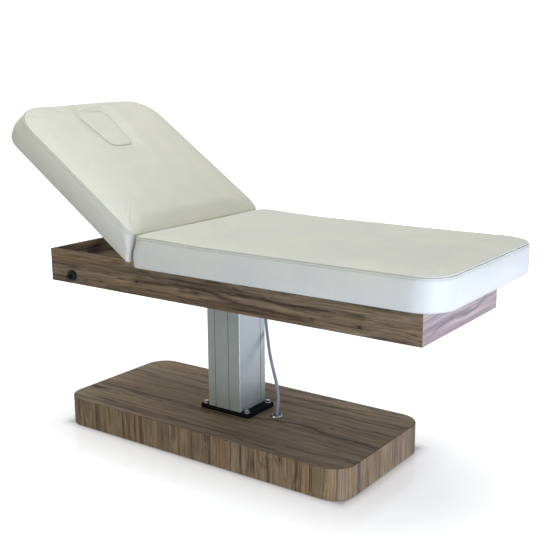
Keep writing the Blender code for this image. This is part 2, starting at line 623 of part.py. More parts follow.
def build_gas_spring(black, steel, chrome, carriage, rod_axis):
    """The cylinder stays in the tray; its rod pushes a pin through the lever's slot."""
    lean_at_rest = BACK_ANGLE - LEVER_DOWN_ANGLE
    pin_x = PIVOT_X - SPRING_DROP * math.tan(lean_at_rest)
    axis = (0.0, SPRING_Z)
    barrel = turned("gas_spring_cylinder", [(SPRING_RADIUS, SPRING_FRONT), (SPRING_RADIUS, SPRING_REAR)], 20,
                    black, "X", axis, carriage)
    drill(barrel, axis, SPRING_BORE, SPRING_FRONT - PAST, SPRING_REAR - 0.010, "X", 20, carriage)
    gland_front, gland_rear = SPRING_FRONT + 0.001, SPRING_FRONT + 0.020
    turned("gas_spring_gland", [(0.0054, gland_front), (SPRING_BORE - GAP, gland_front),
                                (SPRING_BORE - GAP, gland_rear), (0.0054, gland_rear)],
           20, steel, "X", axis, carriage, closed=True)
    anchor_top = HEAD_PLATE_Z + HEAD_PLATE_THICKNESS + TRAY_RAIL_SIZE
    box("gas_spring_anchor", (SPRING_REAR + GAP, -0.016, 0.608), (BEARER_X[0] + 0.0197, 0.016, anchor_top),
        steel, carriage)

    block_end = pin_x + 0.044
    rod_radius, piston_radius = 0.005, 0.0083
    turned("gas_spring_rod", [(rod_radius, block_end + GAP), (rod_radius, 0.030), (piston_radius, 0.030),
                              (piston_radius, 0.050)], 20, chrome, "X", axis, rod_axis)
    cheek_in, cheek_out = 0.0048, 0.0108
    tip, throat = pin_x - 0.011, pin_x + 0.030
    fork = [(tip, -cheek_out), (block_end, -cheek_out), (block_end, cheek_out), (tip, cheek_out),
            (tip, cheek_in), (throat, cheek_in), (throat, -cheek_in), (tip, -cheek_in)]
    clevis = prism("rod_clevis", fork, SPRING_Z - 0.009, SPRING_Z + 0.009, steel, parent=rod_axis)
    drill(clevis, (pin_x, SPRING_Z), PIN_RADIUS + GAP, -cheek_out - PAST, cheek_out + PAST, "Y", 16,
          rod_axis)
    turned("clevis_pin", [(PIN_RADIUS, -0.0110), (PIN_RADIUS, 0.0111), (0.0080, 0.0111), (0.0080, 0.0131)],
           16, chrome, "Y", (pin_x, SPRING_Z), rod_axis)


# ------------------------------------------------------------------ release knob and its cable

def build_release(black, steel, carriage, knob_axis):
    face = -TRAY_HALF_WIDTH
    inner_face = face + PANEL
    centre = (KNOB_X, KNOB_Z)
    bush_front = face - GAP - 0.0035
    turned("knob_bush", [(0.0064, bush_front), (0.0200, bush_front), (0.0215, bush_front + 0.001),
                         (0.0215, face - GAP), (0.0101, face - GAP), (0.0101, inner_face),
                         (0.0064, inner_face)], 24, black, "Y", centre, carriage, closed=True)
    back_y = bush_front - GAP
    knob = turned("release_knob", [(KNOB_RADIUS - 0.001, 0.0), (KNOB_RADIUS, -0.001), (KNOB_RADIUS, -0.005),
                                   (KNOB_RADIUS - 0.003, -0.008), (0.012, -0.009)], 24, black, "Y",
                  parent=knob_axis)
    grip = turned("join_knob_grip", [(0.0080, -0.005), (0.0080, -0.021), (0.0065, -0.024), (0.003, -0.0255)],
                  18, None, "Y", (-0.0055, -0.0050), knob_axis)
    combine(knob, grip, "UNION")
    knob_axis.location = (KNOB_X, back_y, KNOB_Z)

    crank_y = inner_face + 0.004
    shaft_front = GAP
    crank = prism("knob_crank", capsule((0.0, 0.0), (0.016, 0.014), 0.0095, 0.006, 8),
                  crank_y - back_y, crank_y - back_y + 0.006, steel, "Y", knob_axis)
    shaft = turned("join_crank_shaft", [(0.0058, shaft_front), (0.0058, crank_y - back_y + 0.003)], 18, None,
                   "Y", parent=knob_axis)
    combine(crank, shaft, "UNION")


def smooth_curve(points, samples):
    """Points along a centripetal Catmull-Rom curve through the route's own points."""
    knots = [Vector(p) for p in points]
    knots = [2.0 * knots[0] - knots[1]] + knots + [2.0 * knots[-1] - knots[-2]]
    result = []
    for i in range(1, len(knots) - 2):
        p0, p1, p2, p3 = knots[i - 1:i + 3]
        t0 = 0.0
        t1 = t0 + (p1 - p0).length ** 0.5
        t2 = t1 + (p2 - p1).length ** 0.5
        t3 = t2 + (p3 - p2).length ** 0.5
        for step in range(samples):
            t = t1 + (t2 - t1) * step / samples
            a1 = p0 * ((t1 - t) / (t1 - t0)) + p1 * ((t - t0) / (t1 - t0))
            a2 = p1 * ((t2 - t) / (t2 - t1)) + p2 * ((t - t1) / (t2 - t1))
            a3 = p2 * ((t3 - t) / (t3 - t2)) + p3 * ((t - t2) / (t3 - t2))
            b1 = a1 * ((t2 - t) / (t2 - t0)) + a2 * ((t - t0) / (t2 - t0))
            b2 = a2 * ((t3 - t) / (t3 - t1)) + a3 * ((t - t1) / (t3 - t1))
            result.append(b1 * ((t2 - t) / (t2 - t1)) + b2 * ((t - t1) / (t2 - t1)))
    result.append(knots[-2])
    return result


def cable(name, route, samples, radius, resolution, surface, parent=None):
    curve = bpy.data.curves.new(name, "CURVE")
    curve.dimensions = "3D"
    curve.bevel_depth = radius
    curve.bevel_resolution = resolution
    curve.use_fill_caps = True
    curve.materials.append(surface)
    line = curve.splines.new("POLY")
    points = smooth_curve(route, samples)
    line.points.add(len(points) - 1)
    for slot, point in zip(line.points, points):
        slot.co = (*point, 1.0)
    made = bpy.data.objects.new(name, curve)
    bpy.context.scene.collection.objects.link(made)
    if parent is not None:
        made.parent = parent
    return made


def main():
    clear_scene()
    wood = material("walnut_laminate", (0.16, 0.11, 0.075), 0.45)
    steel = material("painted_steel", (0.05, 0.05, 0.055), 0.45)
    black = material("black_plastic", (0.010, 0.010, 0.009), 0.40)
    chrome = material("chrome", (0.80, 0.81, 0.83), 0.12, 1.0)
    aluminium = material("anodised_aluminium", (0.50, 0.52, 0.56), 0.38, 1.0)
    leather = material("cream_leatherette", (0.66, 0.66, 0.58), 0.42)
    ply = material("birch_ply", (0.55, 0.42, 0.26), 0.60)
    white = material("white_acetal", (0.80, 0.80, 0.78), 0.40)
    grey = material("grey_sheath", (0.16, 0.17, 0.20), 0.50)

    carriage = pivot_empty("carriage", (0.0, 0.0, 0.0))
    screw_axis = pivot_empty("screw_axis", (0.0, 0.0, 0.0))
    back = pivot_empty("backrest_pivot", (PIVOT_X, 0.0, PIVOT_Z), BACK_ANGLE)
    rod_axis = pivot_empty("rod_axis", (0.0, 0.0, 0.0))
    knob_axis = pivot_empty("knob_axis", (KNOB_X, 0.0, KNOB_Z))
    for moving in (back, rod_axis, knob_axis):
        moving.parent = carriage

    build_base(wood, steel, black, chrome)
    build_column(aluminium, black, chrome, white, steel, carriage, screw_axis)
    build_tray(wood, steel, black, carriage)
    build_seat(leather, ply, carriage)
    build_backrest(leather, ply, steel, back)
    build_gas_spring(black, steel, chrome, carriage, rod_axis)
    build_release(black, steel, carriage, knob_axis)
    cable("lift_cable", LIFT_CABLE_ROUTE, 3, LIFT_CABLE_RADIUS, 2, grey)
    cable("release_cable", RELEASE_CABLE_ROUTE, 5, RELEASE_CABLE_RADIUS, 2, black, carriage)
    bpy.context.view_layer.update()


main()
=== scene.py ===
"""Looks of the facial treatment bed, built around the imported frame.

Row frame, metres: +X to the foot end, -Y the side with the knob, +Z up, floor at z = 0.
"""

import math

import bpy
import numpy as np
from mathutils import Matrix, Vector, noise


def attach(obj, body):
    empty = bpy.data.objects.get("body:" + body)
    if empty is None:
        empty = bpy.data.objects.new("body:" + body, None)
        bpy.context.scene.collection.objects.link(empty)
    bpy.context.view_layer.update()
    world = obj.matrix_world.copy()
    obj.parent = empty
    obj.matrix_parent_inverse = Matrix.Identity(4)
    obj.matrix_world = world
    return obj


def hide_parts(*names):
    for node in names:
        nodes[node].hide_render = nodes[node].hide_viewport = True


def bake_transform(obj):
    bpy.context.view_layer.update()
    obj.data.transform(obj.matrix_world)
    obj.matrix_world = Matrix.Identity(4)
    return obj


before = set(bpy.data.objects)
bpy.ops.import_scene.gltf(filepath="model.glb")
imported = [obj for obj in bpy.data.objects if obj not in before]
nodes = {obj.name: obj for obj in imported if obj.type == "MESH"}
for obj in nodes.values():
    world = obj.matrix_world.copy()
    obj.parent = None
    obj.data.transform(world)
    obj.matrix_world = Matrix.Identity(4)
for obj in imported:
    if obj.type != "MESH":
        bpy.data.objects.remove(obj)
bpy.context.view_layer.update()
scene = bpy.context.scene

PIVOT = (-0.1786, 0.0, 0.695)
BACK_ANGLE = math.radians(34.4)
UNDERSIDE = 0.713                     # of the seat cushion
BACK_UNDERSIDE = UNDERSIDE - PIVOT[2]
HALF_WIDTH = 0.380
SEAT_HEAD_X, SEAT_FOOT_X = -0.1685, 1.023
BACK_HEAD_X, BACK_HINGE_X = -0.820, -0.0238

# ------------------------------------------------------------------ camera

CAMERA_PLACE = (2.09428, -2.69277, 1.40858)
AZIMUTH, ELEVATION, ROLL = 35.374, 12.755, -0.321        # degrees

camera_data = bpy.data.cameras.new("camera")
camera_data.sensor_width = 36.0
camera_data.lens = 60.75
camera = bpy.data.objects.new("camera", camera_data)
scene.collection.objects.link(camera)
camera.matrix_world = (Matrix.Translation(CAMERA_PLACE)
                       @ Matrix.Rotation(math.radians(AZIMUTH), 4, "Z")
                       @ Matrix.Rotation(math.radians(90.0 - ELEVATION), 4, "X")
                       @ Matrix.Rotation(math.radians(ROLL), 4, "Z"))
scene.camera = camera


# ------------------------------------------------------------------ node helpers

class Surface:
    """A procedural material under construction."""

    def __init__(self, name):
        self.material = bpy.data.materials.new(name)
        self.material.use_nodes = True
        self.tree = self.material.node_tree
        self.shader = self.tree.nodes["Principled BSDF"]
        self.coords = self.tree.nodes.new("ShaderNodeTexCoord").outputs["Object"]

    def put(self, socket, value):
        if isinstance(value, bpy.types.NodeSocket):
            self.tree.links.new(value, socket)
        elif isinstance(value, tuple) and len(value) == 3 and len(socket.default_value) == 4:
            socket.default_value = (*value, 1.0)
        else:
            socket.default_value = value

    def node(self, kind, inputs=(), **settings):
        made = self.tree.nodes.new("ShaderNode" + kind)
        for key, value in settings.items():
            setattr(made, key, value)
        for key, value in dict(inputs).items():
            self.put(made.inputs[key], value)
        return made

    def math(self, operation, a, b=0.0, c=0.0, clamp=False):
        return self.node("Math", {0: a, 1: b, 2: c}, operation=operation, use_clamp=clamp).outputs[0]

    def hypot(self, a, b):
        squares = self.math("ADD", self.math("MULTIPLY", a, a), self.math("MULTIPLY", b, b))
        return self.math("SQRT", squares)

    def scaled(self, scale):
        return self.node("Mapping", {"Vector": self.coords, "Scale": scale}).outputs[0]

    def noise(self, vector, scale=1.0, detail=4.0, rough=0.55, distortion=0.0):
        made = self.node("TexNoise", {"Vector": vector, "Scale": scale, "Detail": detail,
                                      "Roughness": rough, "Distortion": distortion})
        return made.outputs[0]

    def ramp(self, value, stops):
        made = self.node("ValToRGB", {0: value})
        band = made.color_ramp
        while len(band.elements) < len(stops):
            band.elements.new(0.5)
        for element, (position, colour) in zip(band.elements, stops):
            element.position = position
            element.color = (*colour, 1.0) if isinstance(colour, tuple) else (colour, colour, colour, 1.0)
        return made.outputs[0]

    def mix(self, factor, a, b, blend="MIX"):
        made = self.node("Mix", data_type="RGBA", blend_type=blend)
        self.put(made.inputs[0], factor)
        self.put(made.inputs[6], a)
        self.put(made.inputs[7], b)
        return made.outputs[2]

    def bump(self, height, strength, distance, normal=None):
        made = self.node("Bump", {"Height": height, "Strength": strength, "Distance": distance})
        if normal is not None:
            self.put(made.inputs["Normal"], normal)
        return made.outputs[0]

    def split(self, vector):
        return self.node("SeparateXYZ", {0: vector}).outputs

    def join(self, x, y, z):
        return self.node("CombineXYZ", {0: x, 1: y, 2: z}).outputs[0]

    def finish(self, **inputs):
        for key, value in inputs.items():
            self.put(self.shader.inputs[key.replace("_", " ")], value)
        return self.material


# ------------------------------------------------------------------ materials

# painted shade: the leather reads this to darken its seams
SEAM_PAINTED_SHADE = "seam_painted_shade"                # how deep in a seam each point of the leather lies, 0 to 1


def wood(name, grain, seed, tone=1.0, veins=(), green=0.80, blue=0.56, fineness=1.0, contrast=1.0,
         gloss=0.22, marks=()):
    """Walnut laminate.  grain is the axis the grain runs along; veins are drawn lines of dark figure.

    Each vein is (plane axis, points, half width, strength): points are (along, across) in metres.
    Each mark is a knot: (plane axis, along, across, half length, half width).
    green and blue warm the colour; fineness narrows the strips.
    """
    s = Surface(name)
    x, y, z = s.split(s.coords)
    along = {"X": x, "Y": y, "Z": z}[grain]
    across = [value for axis, value in zip("XYZ", (x, y, z)) if axis != grain]
    drift = s.noise(s.join(s.math("MULTIPLY", along, 2.2), s.math("MULTIPLY", across[0], 5.0),
                           s.math("MULTIPLY_ADD", across[1], 5.0, seed)), 1.0, 2.0)
    bend = s.math("MULTIPLY_ADD", drift, 0.050, -0.025)
    u = s.math("ADD", across[0], bend)
    v = s.math("ADD", across[1], bend)

    def streaks(length_scale, width_scale, detail, rough, shift):
        wide = width_scale * fineness
        point = s.join(s.math("MULTIPLY_ADD", along, length_scale, shift + seed),
                       s.math("MULTIPLY", u, wide), s.math("MULTIPLY", v, wide))
        return s.noise(point, 1.0, detail, rough)

    broad = streaks(0.9, 30.0, 5.0, 0.66, 3.1)
    middle = streaks(2.2, 150.0, 5.0, 0.72, 11.7)
    fibre = streaks(9.0, 420.0, 3.0, 0.65, 27.3)
    pores = streaks(26.0, 900.0, 2.0, 0.50, 41.9)

    def shade_of(red, warmth=1.0):
        return (red * tone, red * tone * green * (2.0 - warmth), red * tone * blue * (2.0 - warmth))

    light, medium, dark = shade_of(0.330), shade_of(0.225, 1.03), shade_of(0.225 - 0.125 * contrast, 1.10)
    colour = s.ramp(broad, [(0.34, dark), (0.44, medium), (0.55, light), (0.68, medium)])
    low = 1.0 - 0.60 * contrast
    shade = s.ramp(middle, [(0.34, low), (0.45, 0.84), (0.55, 1.06), (0.67, 1.30)])
    colour = s.mix(1.0, colour, shade, "MULTIPLY")
    lines = streaks(0.6, 34.0, 3.0, 0.50, 63.0)
    from_line = s.math("ABSOLUTE", s.math("SUBTRACT", lines, 0.5))
    line = s.ramp(from_line, [(0.0, 0.18), (0.005, 0.40), (0.014, 1.0)])
    broken = s.ramp(streaks(3.0, 20.0, 2.0, 0.5, 120.0), [(0.42, 0.0), (0.56, 0.9)])
    colour = s.mix(broken, colour, s.mix(1.0, colour, line, "MULTIPLY"))
    fine = s.ramp(fibre, [(0.36, 0.72), (0.50, 1.0), (0.64, 1.22)])
    colour = s.mix(1.0, colour, fine, "MULTIPLY")
    brown = s.ramp(streaks(1.1, 14.0, 2.0, 0.5, 90.0), [(0.44, 0.0), (0.66, 1.0)])
    browned = s.mix(1.0, colour, (1.10, 0.92, 0.72), "MULTIPLY")
    colour = s.mix(s.math("MULTIPLY", brown, 0.55), colour, browned)
    colour = knots(s, colour, along, u, v, seed)
    for axis, points, half_width, strength in veins:
        colour = drawn_vein(s, colour, along, {"X": x, "Y": y, "Z": z}[axis], points, half_width, strength)
    for axis, *place in marks:
        colour = drawn_knot(s, colour, along, {"X": x, "Y": y, "Z": z}[axis], *place)
    height = s.math("ADD", s.math("MULTIPLY", fibre, 0.6), s.math("MULTIPLY", pores, 0.4))
    normal = s.bump(height, 0.25, 0.0006)
    roughness = s.math("MULTIPLY_ADD", fibre, 0.22, 0.36)
    return s.finish(Base_Color=colour, Roughness=roughness, Normal=normal, Specular_IOR_Level=gloss)


def knots(s, colour, along, u, v, seed):
    """A few knots, stretched along the grain, with a dark heart and a ring or two."""
    point = s.join(s.math("MULTIPLY_ADD", along, 1.9, seed), s.math("MULTIPLY", u, 7.5),
                   s.math("MULTIPLY", v, 7.5))
    cell = s.node("TexVoronoi", {"Vector": point, "Scale": 1.0, "Randomness": 1.0})
    far = cell.outputs["Distance"]
    heart = s.ramp(far, [(0.030, 0.10), (0.075, 0.45), (0.13, 1.0)])
    ring = s.math("SINE", s.math("MULTIPLY", far, 90.0))
    near = s.ramp(far, [(0.10, 1.0), (0.26, 0.0)])
    rings = s.math("MULTIPLY_ADD", s.math("MULTIPLY", ring, near), 0.12, 1.0)
    colour = s.mix(0.9, colour, heart, "MULTIPLY")
    return s.mix(1.0, colour, rings, "MULTIPLY")


def drawn_knot(s, colour, along, across, centre, level, half_length, half_width):
    """A knot with an uneven dark heart and rings that fade out round it."""
    wobble = s.noise(s.join(s.math("MULTIPLY", along, 70.0), s.math("MULTIPLY", across, 110.0), centre),
                     1.0, 4.0, 0.6)
    a = s.math("DIVIDE", s.math("SUBTRACT", along, centre), half_length)
    b = s.math("DIVIDE", s.math("SUBTRACT", across, level), half_width)
    far = s.math("ADD", s.hypot(a, b), s.math("MULTIPLY_ADD", wobble, 0.9, -0.45))
    heart = s.ramp(s.math("MULTIPLY", far, 0.4, clamp=True),
                   [(0.0, 0.10), (0.12, 0.22), (0.24, 0.72), (0.9, 1.0)])
    fading = s.math("SUBTRACT", 1.0, s.math("MULTIPLY", far, 0.4), clamp=True)
    rings = s.math("MULTIPLY_ADD", s.math("SINE", s.math("MULTIPLY", far, 14.0)),
                   s.math("MULTIPLY", fading, 0.22), 1.0)
    return s.mix(1.0, s.mix(1.0, colour, heart, "MULTIPLY"), rings, "MULTIPLY")


def drawn_vein(s, colour, along, across, points, half_width, strength):
    """Darken along a smooth line through the points."""
    low, high = points[0][0], points[-1][0]
    curve = s.node("FloatCurve")
    values = [value for _, value in points]
    bottom, span = min(values) - 0.01, max(values) - min(values) + 0.02
    line = curve.mapping.curves[0]
    while len(line.points) < len(points):
        line.points.new(0.5, 0.5)
    for slot, (place, value) in zip(line.points, points):
        slot.location = ((place - low) / (high - low), (value - bottom) / span)
    curve.mapping.update()
    s.put(curve.inputs["Value"], s.math("DIVIDE", s.math("SUBTRACT", along, low), high - low, clamp=True))
    centre = s.math("MULTIPLY_ADD", curve.outputs[0], span, bottom)
    ragged = s.noise(s.join(s.math("MULTIPLY", along, 14.0), s.math("MULTIPLY", across, 90.0), 0.0),
                     1.0, 5.0, 0.7)
    offset = s.math("ADD", s.math("SUBTRACT", across, centre), s.math("MULTIPLY_ADD", ragged, 0.030, -0.015))
    nearness = s.math("SUBTRACT", 1.0, s.math("DIVIDE", s.math("ABSOLUTE", offset), half_width), clamp=True)
    ends = s.math("MULTIPLY", s.math("DIVIDE", s.math("SUBTRACT", along, low - 0.03), 0.08, clamp=True),
                  s.math("DIVIDE", s.math("SUBTRACT", high + 0.03, along), 0.08, clamp=True))
    amount = s.math("MULTIPLY", s.math("MULTIPLY", s.math("POWER", nearness, 0.7), ends), strength)
    return s.mix(amount, colour, (0.040, 0.021, 0.013))


def leather(name, tint=(0.560, 0.566, 0.500)):
    """Cream leatherette: fine pebbled grain, soft creases, a faint mottling, and painted shade darkening its
    seams.
    """
    s = Surface(name)
    cells = s.node("TexVoronoi", {"Vector": s.coords, "Scale": 620.0, "Randomness": 1.0}, feature="SMOOTH_F1")
    s.put(cells.inputs["Smoothness"], 0.6)
    pebble = cells.outputs["Distance"]
    grain = s.noise(s.coords, 1300.0, 3.0, 0.6)
    wrinkle = s.noise(s.coords, 34.0, 5.0, 0.62, 0.4)
    patch = s.noise(s.coords, 6.5, 3.0, 0.5)
    warm = tuple(a * b for a, b in zip(tint, (1.020, 1.015, 0.985)))
    cool = tuple(a * b for a, b in zip(tint, (0.965, 0.968, 0.985)))
    colour = s.mix(s.ramp(patch, [(0.35, 0.0), (0.65, 1.0)]), warm, cool)
    pits = s.ramp(pebble, [(0.0, 0.972), (0.45, 1.0), (0.9, 1.012)])
    colour = s.mix(1.0, colour, pits, "MULTIPLY")
    soft = s.ramp(wrinkle, [(0.32, 0.975), (0.52, 1.0), (0.72, 1.012)])
    colour = s.mix(1.0, colour, soft, "MULTIPLY")
    # painted shade: the leather darkens in its seam and stitch grooves
    painted_seam_shade = s.node("Attribute", attribute_name=SEAM_PAINTED_SHADE).outputs["Fac"]
    colour = s.mix(painted_seam_shade, colour, tuple(a * b for a, b in zip(tint, (0.50, 0.49, 0.44))))
    height = s.math("ADD", s.math("MULTIPLY", pebble, 0.8), s.math("MULTIPLY", grain, 0.35))
    fine = s.bump(height, 0.30, 0.0003)
    normal = s.bump(wrinkle, 0.16, 0.0022, fine)
    roughness = s.math("MULTIPLY_ADD", wrinkle, 0.16, 0.40)
    return s.finish(Base_Color=colour, Roughness=roughness, Normal=normal, Specular_IOR_Level=0.32,
                    Sheen_Weight=0.06, Sheen_Roughness=0.5)


def metal(name, colour, rough, metallic=1.0, brush=None, brush_strength=0.10, spots=0.05, faces=None):
    """Bare, plated or anodised metal; brush is the axis its fine lines run along.

    faces are the half sizes of an extrusion in X and Y; whatever lies below them is a groove, darkened with
    painted shade.
    """
    s = Surface(name)
    scale = {"X": (6.0, 700.0, 700.0), "Y": (700.0, 6.0, 700.0), "Z": (700.0, 700.0, 6.0), None: (160.0,) * 3}
    lines = s.noise(s.scaled(scale[brush]), 1.0, 3.0, 0.6)
    cloud = s.noise(s.coords, 22.0, 4.0, 0.55)
    tone = s.ramp(cloud, [(0.3, 1.0 - spots), (0.7, 1.0 + spots)])
    shade = s.mix(1.0, colour, tone, "MULTIPLY")
    brushed = s.mix(1.0, shade, s.ramp(lines, [(0.3, 0.6), (0.7, 1.3)]), "MULTIPLY")
    shade = s.mix(brush_strength, shade, brushed)
    roughness = s.math("ADD", s.math("MULTIPLY_ADD", lines, 0.12, rough - 0.06),
                       s.math("MULTIPLY_ADD", cloud, 0.10, -0.05))
    normal = s.bump(lines, brush_strength, 0.0002)
    if faces is not None:
        x, y, _ = s.split(s.coords)
        depth = s.math("MINIMUM", s.math("SUBTRACT", faces[0], s.math("ABSOLUTE", x)),
                       s.math("SUBTRACT", faces[1], s.math("ABSOLUTE", y)))
        # painted shade: points below the faces, in the grooves, turn near black
        shade = s.mix(s.math("DIVIDE", s.math("SUBTRACT", depth, 0.0011), 0.0006, clamp=True), shade,
                      (0.050, 0.052, 0.060))
    return s.finish(Base_Color=shade, Roughness=roughness, Metallic=metallic, Normal=normal)


def paint(name, colour, rough, peel=0.12, specular=0.5, dust=0.10):
    """Powder coat, paint or moulded plastic with a fine texture, faint dust and worn sheen."""
    s = Surface(name)
    texture = s.noise(s.coords, 900.0, 3.0, 0.6)
    cloud = s.noise(s.coords, 30.0, 4.0, 0.6)
    lighter = tuple(min(1.0, value * 1.35 + 0.012) for value in colour)
    shade = s.mix(s.math("MULTIPLY", s.ramp(cloud, [(0.40, 0.0), (0.75, 1.0)]), dust * 3.0), colour, lighter)
    shade = s.mix(1.0, shade, s.ramp(texture, [(0.3, 0.92), (0.7, 1.08)]), "MULTIPLY")
    roughness = s.math("ADD", s.math("MULTIPLY_ADD", cloud, 0.14, rough - 0.07),
                       s.math("MULTIPLY_ADD", texture, 0.06, -0.03))
    return s.finish(Base_Color=shade, Roughness=roughness, Normal=s.bump(texture, peel, 0.0003),
                    Specular_IOR_Level=specular)


def plywood(name):
    """Birch ply: open face grain, and layers on its edges."""
    s = Surface(name)
    grain = s.noise(s.scaled((3.0, 60.0, 300.0)), 1.0, 5.0, 0.6, 0.6)
    flakes = s.noise(s.scaled((30.0, 420.0, 420.0)), 1.0, 2.0, 0.5)
    colour = s.ramp(grain, [(0.30, (0.42, 0.29, 0.16)), (0.50, (0.56, 0.42, 0.26)),
                            (0.70, (0.64, 0.50, 0.33))])
    colour = s.mix(1.0, colour, s.ramp(flakes, [(0.3, 0.90), (0.7, 1.06)]), "MULTIPLY")
    return s.finish(Base_Color=colour, Roughness=s.math("MULTIPLY_ADD", flakes, 0.2, 0.5),
                    Normal=s.bump(grain, 0.2, 0.0008), Specular_IOR_Level=0.3)


def sheath(name, colour, across):
    """Soft cable sheath with a fine drawn texture."""
    s = Surface(name)
    texture = s.noise(s.coords, 500.0, 3.0, 0.6)
    rub = s.noise(s.coords, across, 4.0, 0.6)
    shade = s.mix(1.0, colour, s.ramp(rub, [(0.3, 0.82), (0.7, 1.16)]), "MULTIPLY")
    return s.finish(Base_Color=shade, Roughness=s.math("MULTIPLY_ADD", texture, 0.2, 0.38),
                    Normal=s.bump(texture, 0.15, 0.0003), Specular_IOR_Level=0.45)


def dress(material, *names):
    for name in names:
        nodes[name].material_slots[0].material = material


# Veins and knots, given one by one: see wood() for what each number says.
SIDE_VEINS = [("Z", [(-0.239, 0.640), (-0.108, 0.644), (-0.013, 0.648), (0.085, 0.648), (0.166, 0.630),
                     (0.252, 0.620), (0.336, 0.615), (0.443, 0.609), (0.526, 0.606)], 0.011, 0.85),
              ("Z", [(-0.060, 0.668), (0.020, 0.662), (0.100, 0.664), (0.190, 0.650), (0.280, 0.646)],
               0.007, 0.70),
              ("Z", [(-0.66, 0.640), (-0.54, 0.652), (-0.42, 0.650), (-0.30, 0.655)], 0.005, 0.55),
              ("Z", [(0.40, 0.640), (0.55, 0.632), (0.70, 0.640), (0.86, 0.636)], 0.004, 0.50)]
DECK_VEINS = [("Y", [(0.117, -0.060), (0.207, -0.034), (0.329, -0.020), (0.472, -0.046), (0.565, -0.040),
                     (0.641, -0.049)], 0.010, 0.85),
              ("Y", [(0.119, 0.151), (0.260, 0.189), (0.432, 0.231), (0.613, 0.245)], 0.006, 0.70),
              ("Y", [(-0.139, -0.253), (0.061, -0.237), (0.271, -0.262), (0.500, -0.270), (0.630, -0.262)],
               0.004, 0.60),
              ("Y", [(-0.463, -0.105), (-0.224, -0.124), (-0.079, -0.082)], 0.005, 0.65)]
FOOT_VEINS = [("Z", [(-0.235, 0.604), (-0.157, 0.626), (-0.070, 0.632), (-0.030, 0.630), (0.064, 0.622),
                     (0.195, 0.650), (0.252, 0.672)], 0.008, 0.75)]
SKIRT_VEINS = [("X", [(0.0, at), (0.060, at + 0.002), (0.115, at)], width, strength)
               for at, width, strength in (
                   (-0.479, 0.010, 0.80), (-0.306, 0.004, 0.75), (-0.275, 0.006, 0.80),
                   (-0.102, 0.004, 0.55), (0.024, 0.004, 0.50), (0.287, 0.011, 0.80),
                   (0.354, 0.006, 0.65), (0.488, 0.004, 0.60))]
SKIRT_VEINS += [("Y", [(0.0, at), (0.060, at), (0.115, at)], width, 0.6)
                for at, width in ((-0.181, 0.006), (0.047, 0.007))]
SIDE_KNOTS = [("Z", -0.424, 0.614, 0.006, 0.005), ("Z", -0.238, 0.636, 0.016, 0.009),
              ("Z", 0.045, 0.631, 0.020, 0.009), ("Z", 0.529, 0.611, 0.007, 0.005),
              ("Z", 0.706, 0.614, 0.018, 0.011), ("Z", -0.505, 0.608, 0.010, 0.005)]
SKIRT_KNOTS = [("X", 0.100, 0.404, 0.016, 0.009)]
HEAD_KNOTS = [("Z", -0.102, 0.678, 0.006, 0.005)]
CORNERS = ("head_near", "head_far", "foot_near", "foot_far")
COLUMN_FACES = (0.0765, 0.0808)          # half sizes of the column in X and Y

dress(wood("wood_deck", "X", 4.0, 1.06, DECK_VEINS, 0.75, 0.48, contrast=0.8), "base_deck")
dress(wood("wood_skirt", "Z", 9.0, 0.64, SKIRT_VEINS, 0.73, 0.40, 1.6, marks=SKIRT_KNOTS), "base_skirt")
dress(wood("wood_side", "X", 2.0, 0.66, SIDE_VEINS, 0.75, 0.44, marks=SIDE_KNOTS), "side_panel_near")
dress(wood("wood_side_far", "X", 15.0, 0.8), "side_panel_far")
# painted light: the foot end gets a lighter, bluer tone than the near side, standing in for the strong cool
# light falling on it
dress(wood("wood_foot_end_painted_light", "Y", 21.0, 1.02, FOOT_VEINS, 0.74, 0.62, contrast=0.7, gloss=1.0),
      "foot_panel")
dress(wood("wood_head_end", "Y", 33.0, 0.68, (), 0.75, 0.40, marks=HEAD_KNOTS), "head_panel")

steel = paint("coated_steel", (0.045, 0.047, 0.052), 0.42, 0.18)
dress(steel, "base_rail_near", "base_rail_far", "mount_plate", "column_head_plate", "tray_rail_near",
      "tray_rail_far", "seat_bearer_middle", "seat_bearer_foot", "hinge_bracket_near", "hinge_bracket_far",
      "backrest_arm_near", "backrest_arm_far", "torque_tube", "backrest_lever", "gas_spring_anchor")
dress(paint("flange_paint", (0.004, 0.004, 0.004), 0.60, 0.10, 0.08, 0.0), "column_flange")
dress(paint("moulded_black", (0.020, 0.020, 0.021), 0.45, 0.25), "power_unit", "power_inlet", "lift_motor",
      "control_box", "cable_gland")
dress(paint("knob_black", (0.005, 0.005, 0.005), 0.34, 0.12, 0.30, 0.05), "knob_bush", "release_knob")
dress(paint("cylinder_black", (0.012, 0.012, 0.013), 0.25, 0.05), "gas_spring_cylinder")
dress(metal("grommet_chrome", (0.46, 0.46, 0.47), 0.14, 1.0, None, 0.03, 0.06), "cable_grommet")
dress(metal("chrome_plate", (0.78, 0.79, 0.81), 0.16, 1.0, None, 0.03, 0.03), "gas_spring_rod",
      *("flange_bolt_" + corner for corner in CORNERS))
dress(metal("anodised_column", (0.340, 0.368, 0.320), 0.42, 0.45, "Z", 0.16, 0.05, COLUMN_FACES),
      "column_outer")
dress(metal("anodised_inner", (0.52, 0.54, 0.57), 0.36, 0.8, "Z", 0.14), "column_inner")
dress(metal("turned_steel", (0.50, 0.51, 0.53), 0.30, 1.0, None, 0.12), "lead_screw", "push_tube",
      "gas_spring_gland", "rod_clevis", "clevis_pin", "knob_crank")
dress(plywood("birch_ply"), "seat_board", "backrest_board")
dress(paint("acetal_white", (0.78, 0.78, 0.76), 0.42, 0.10), "glide_pad_head", "glide_pad_foot",
      "glide_pad_near", "glide_pad_far")
dress(paint("foot_rubber", (0.016, 0.016, 0.016), 0.62, 0.30, 0.35),
      *("levelling_foot_" + corner for corner in CORNERS))
dress(sheath("thin_sheath", (0.030, 0.031, 0.034), 60.0), "release_cable")
cream = leather("cream_leatherette")
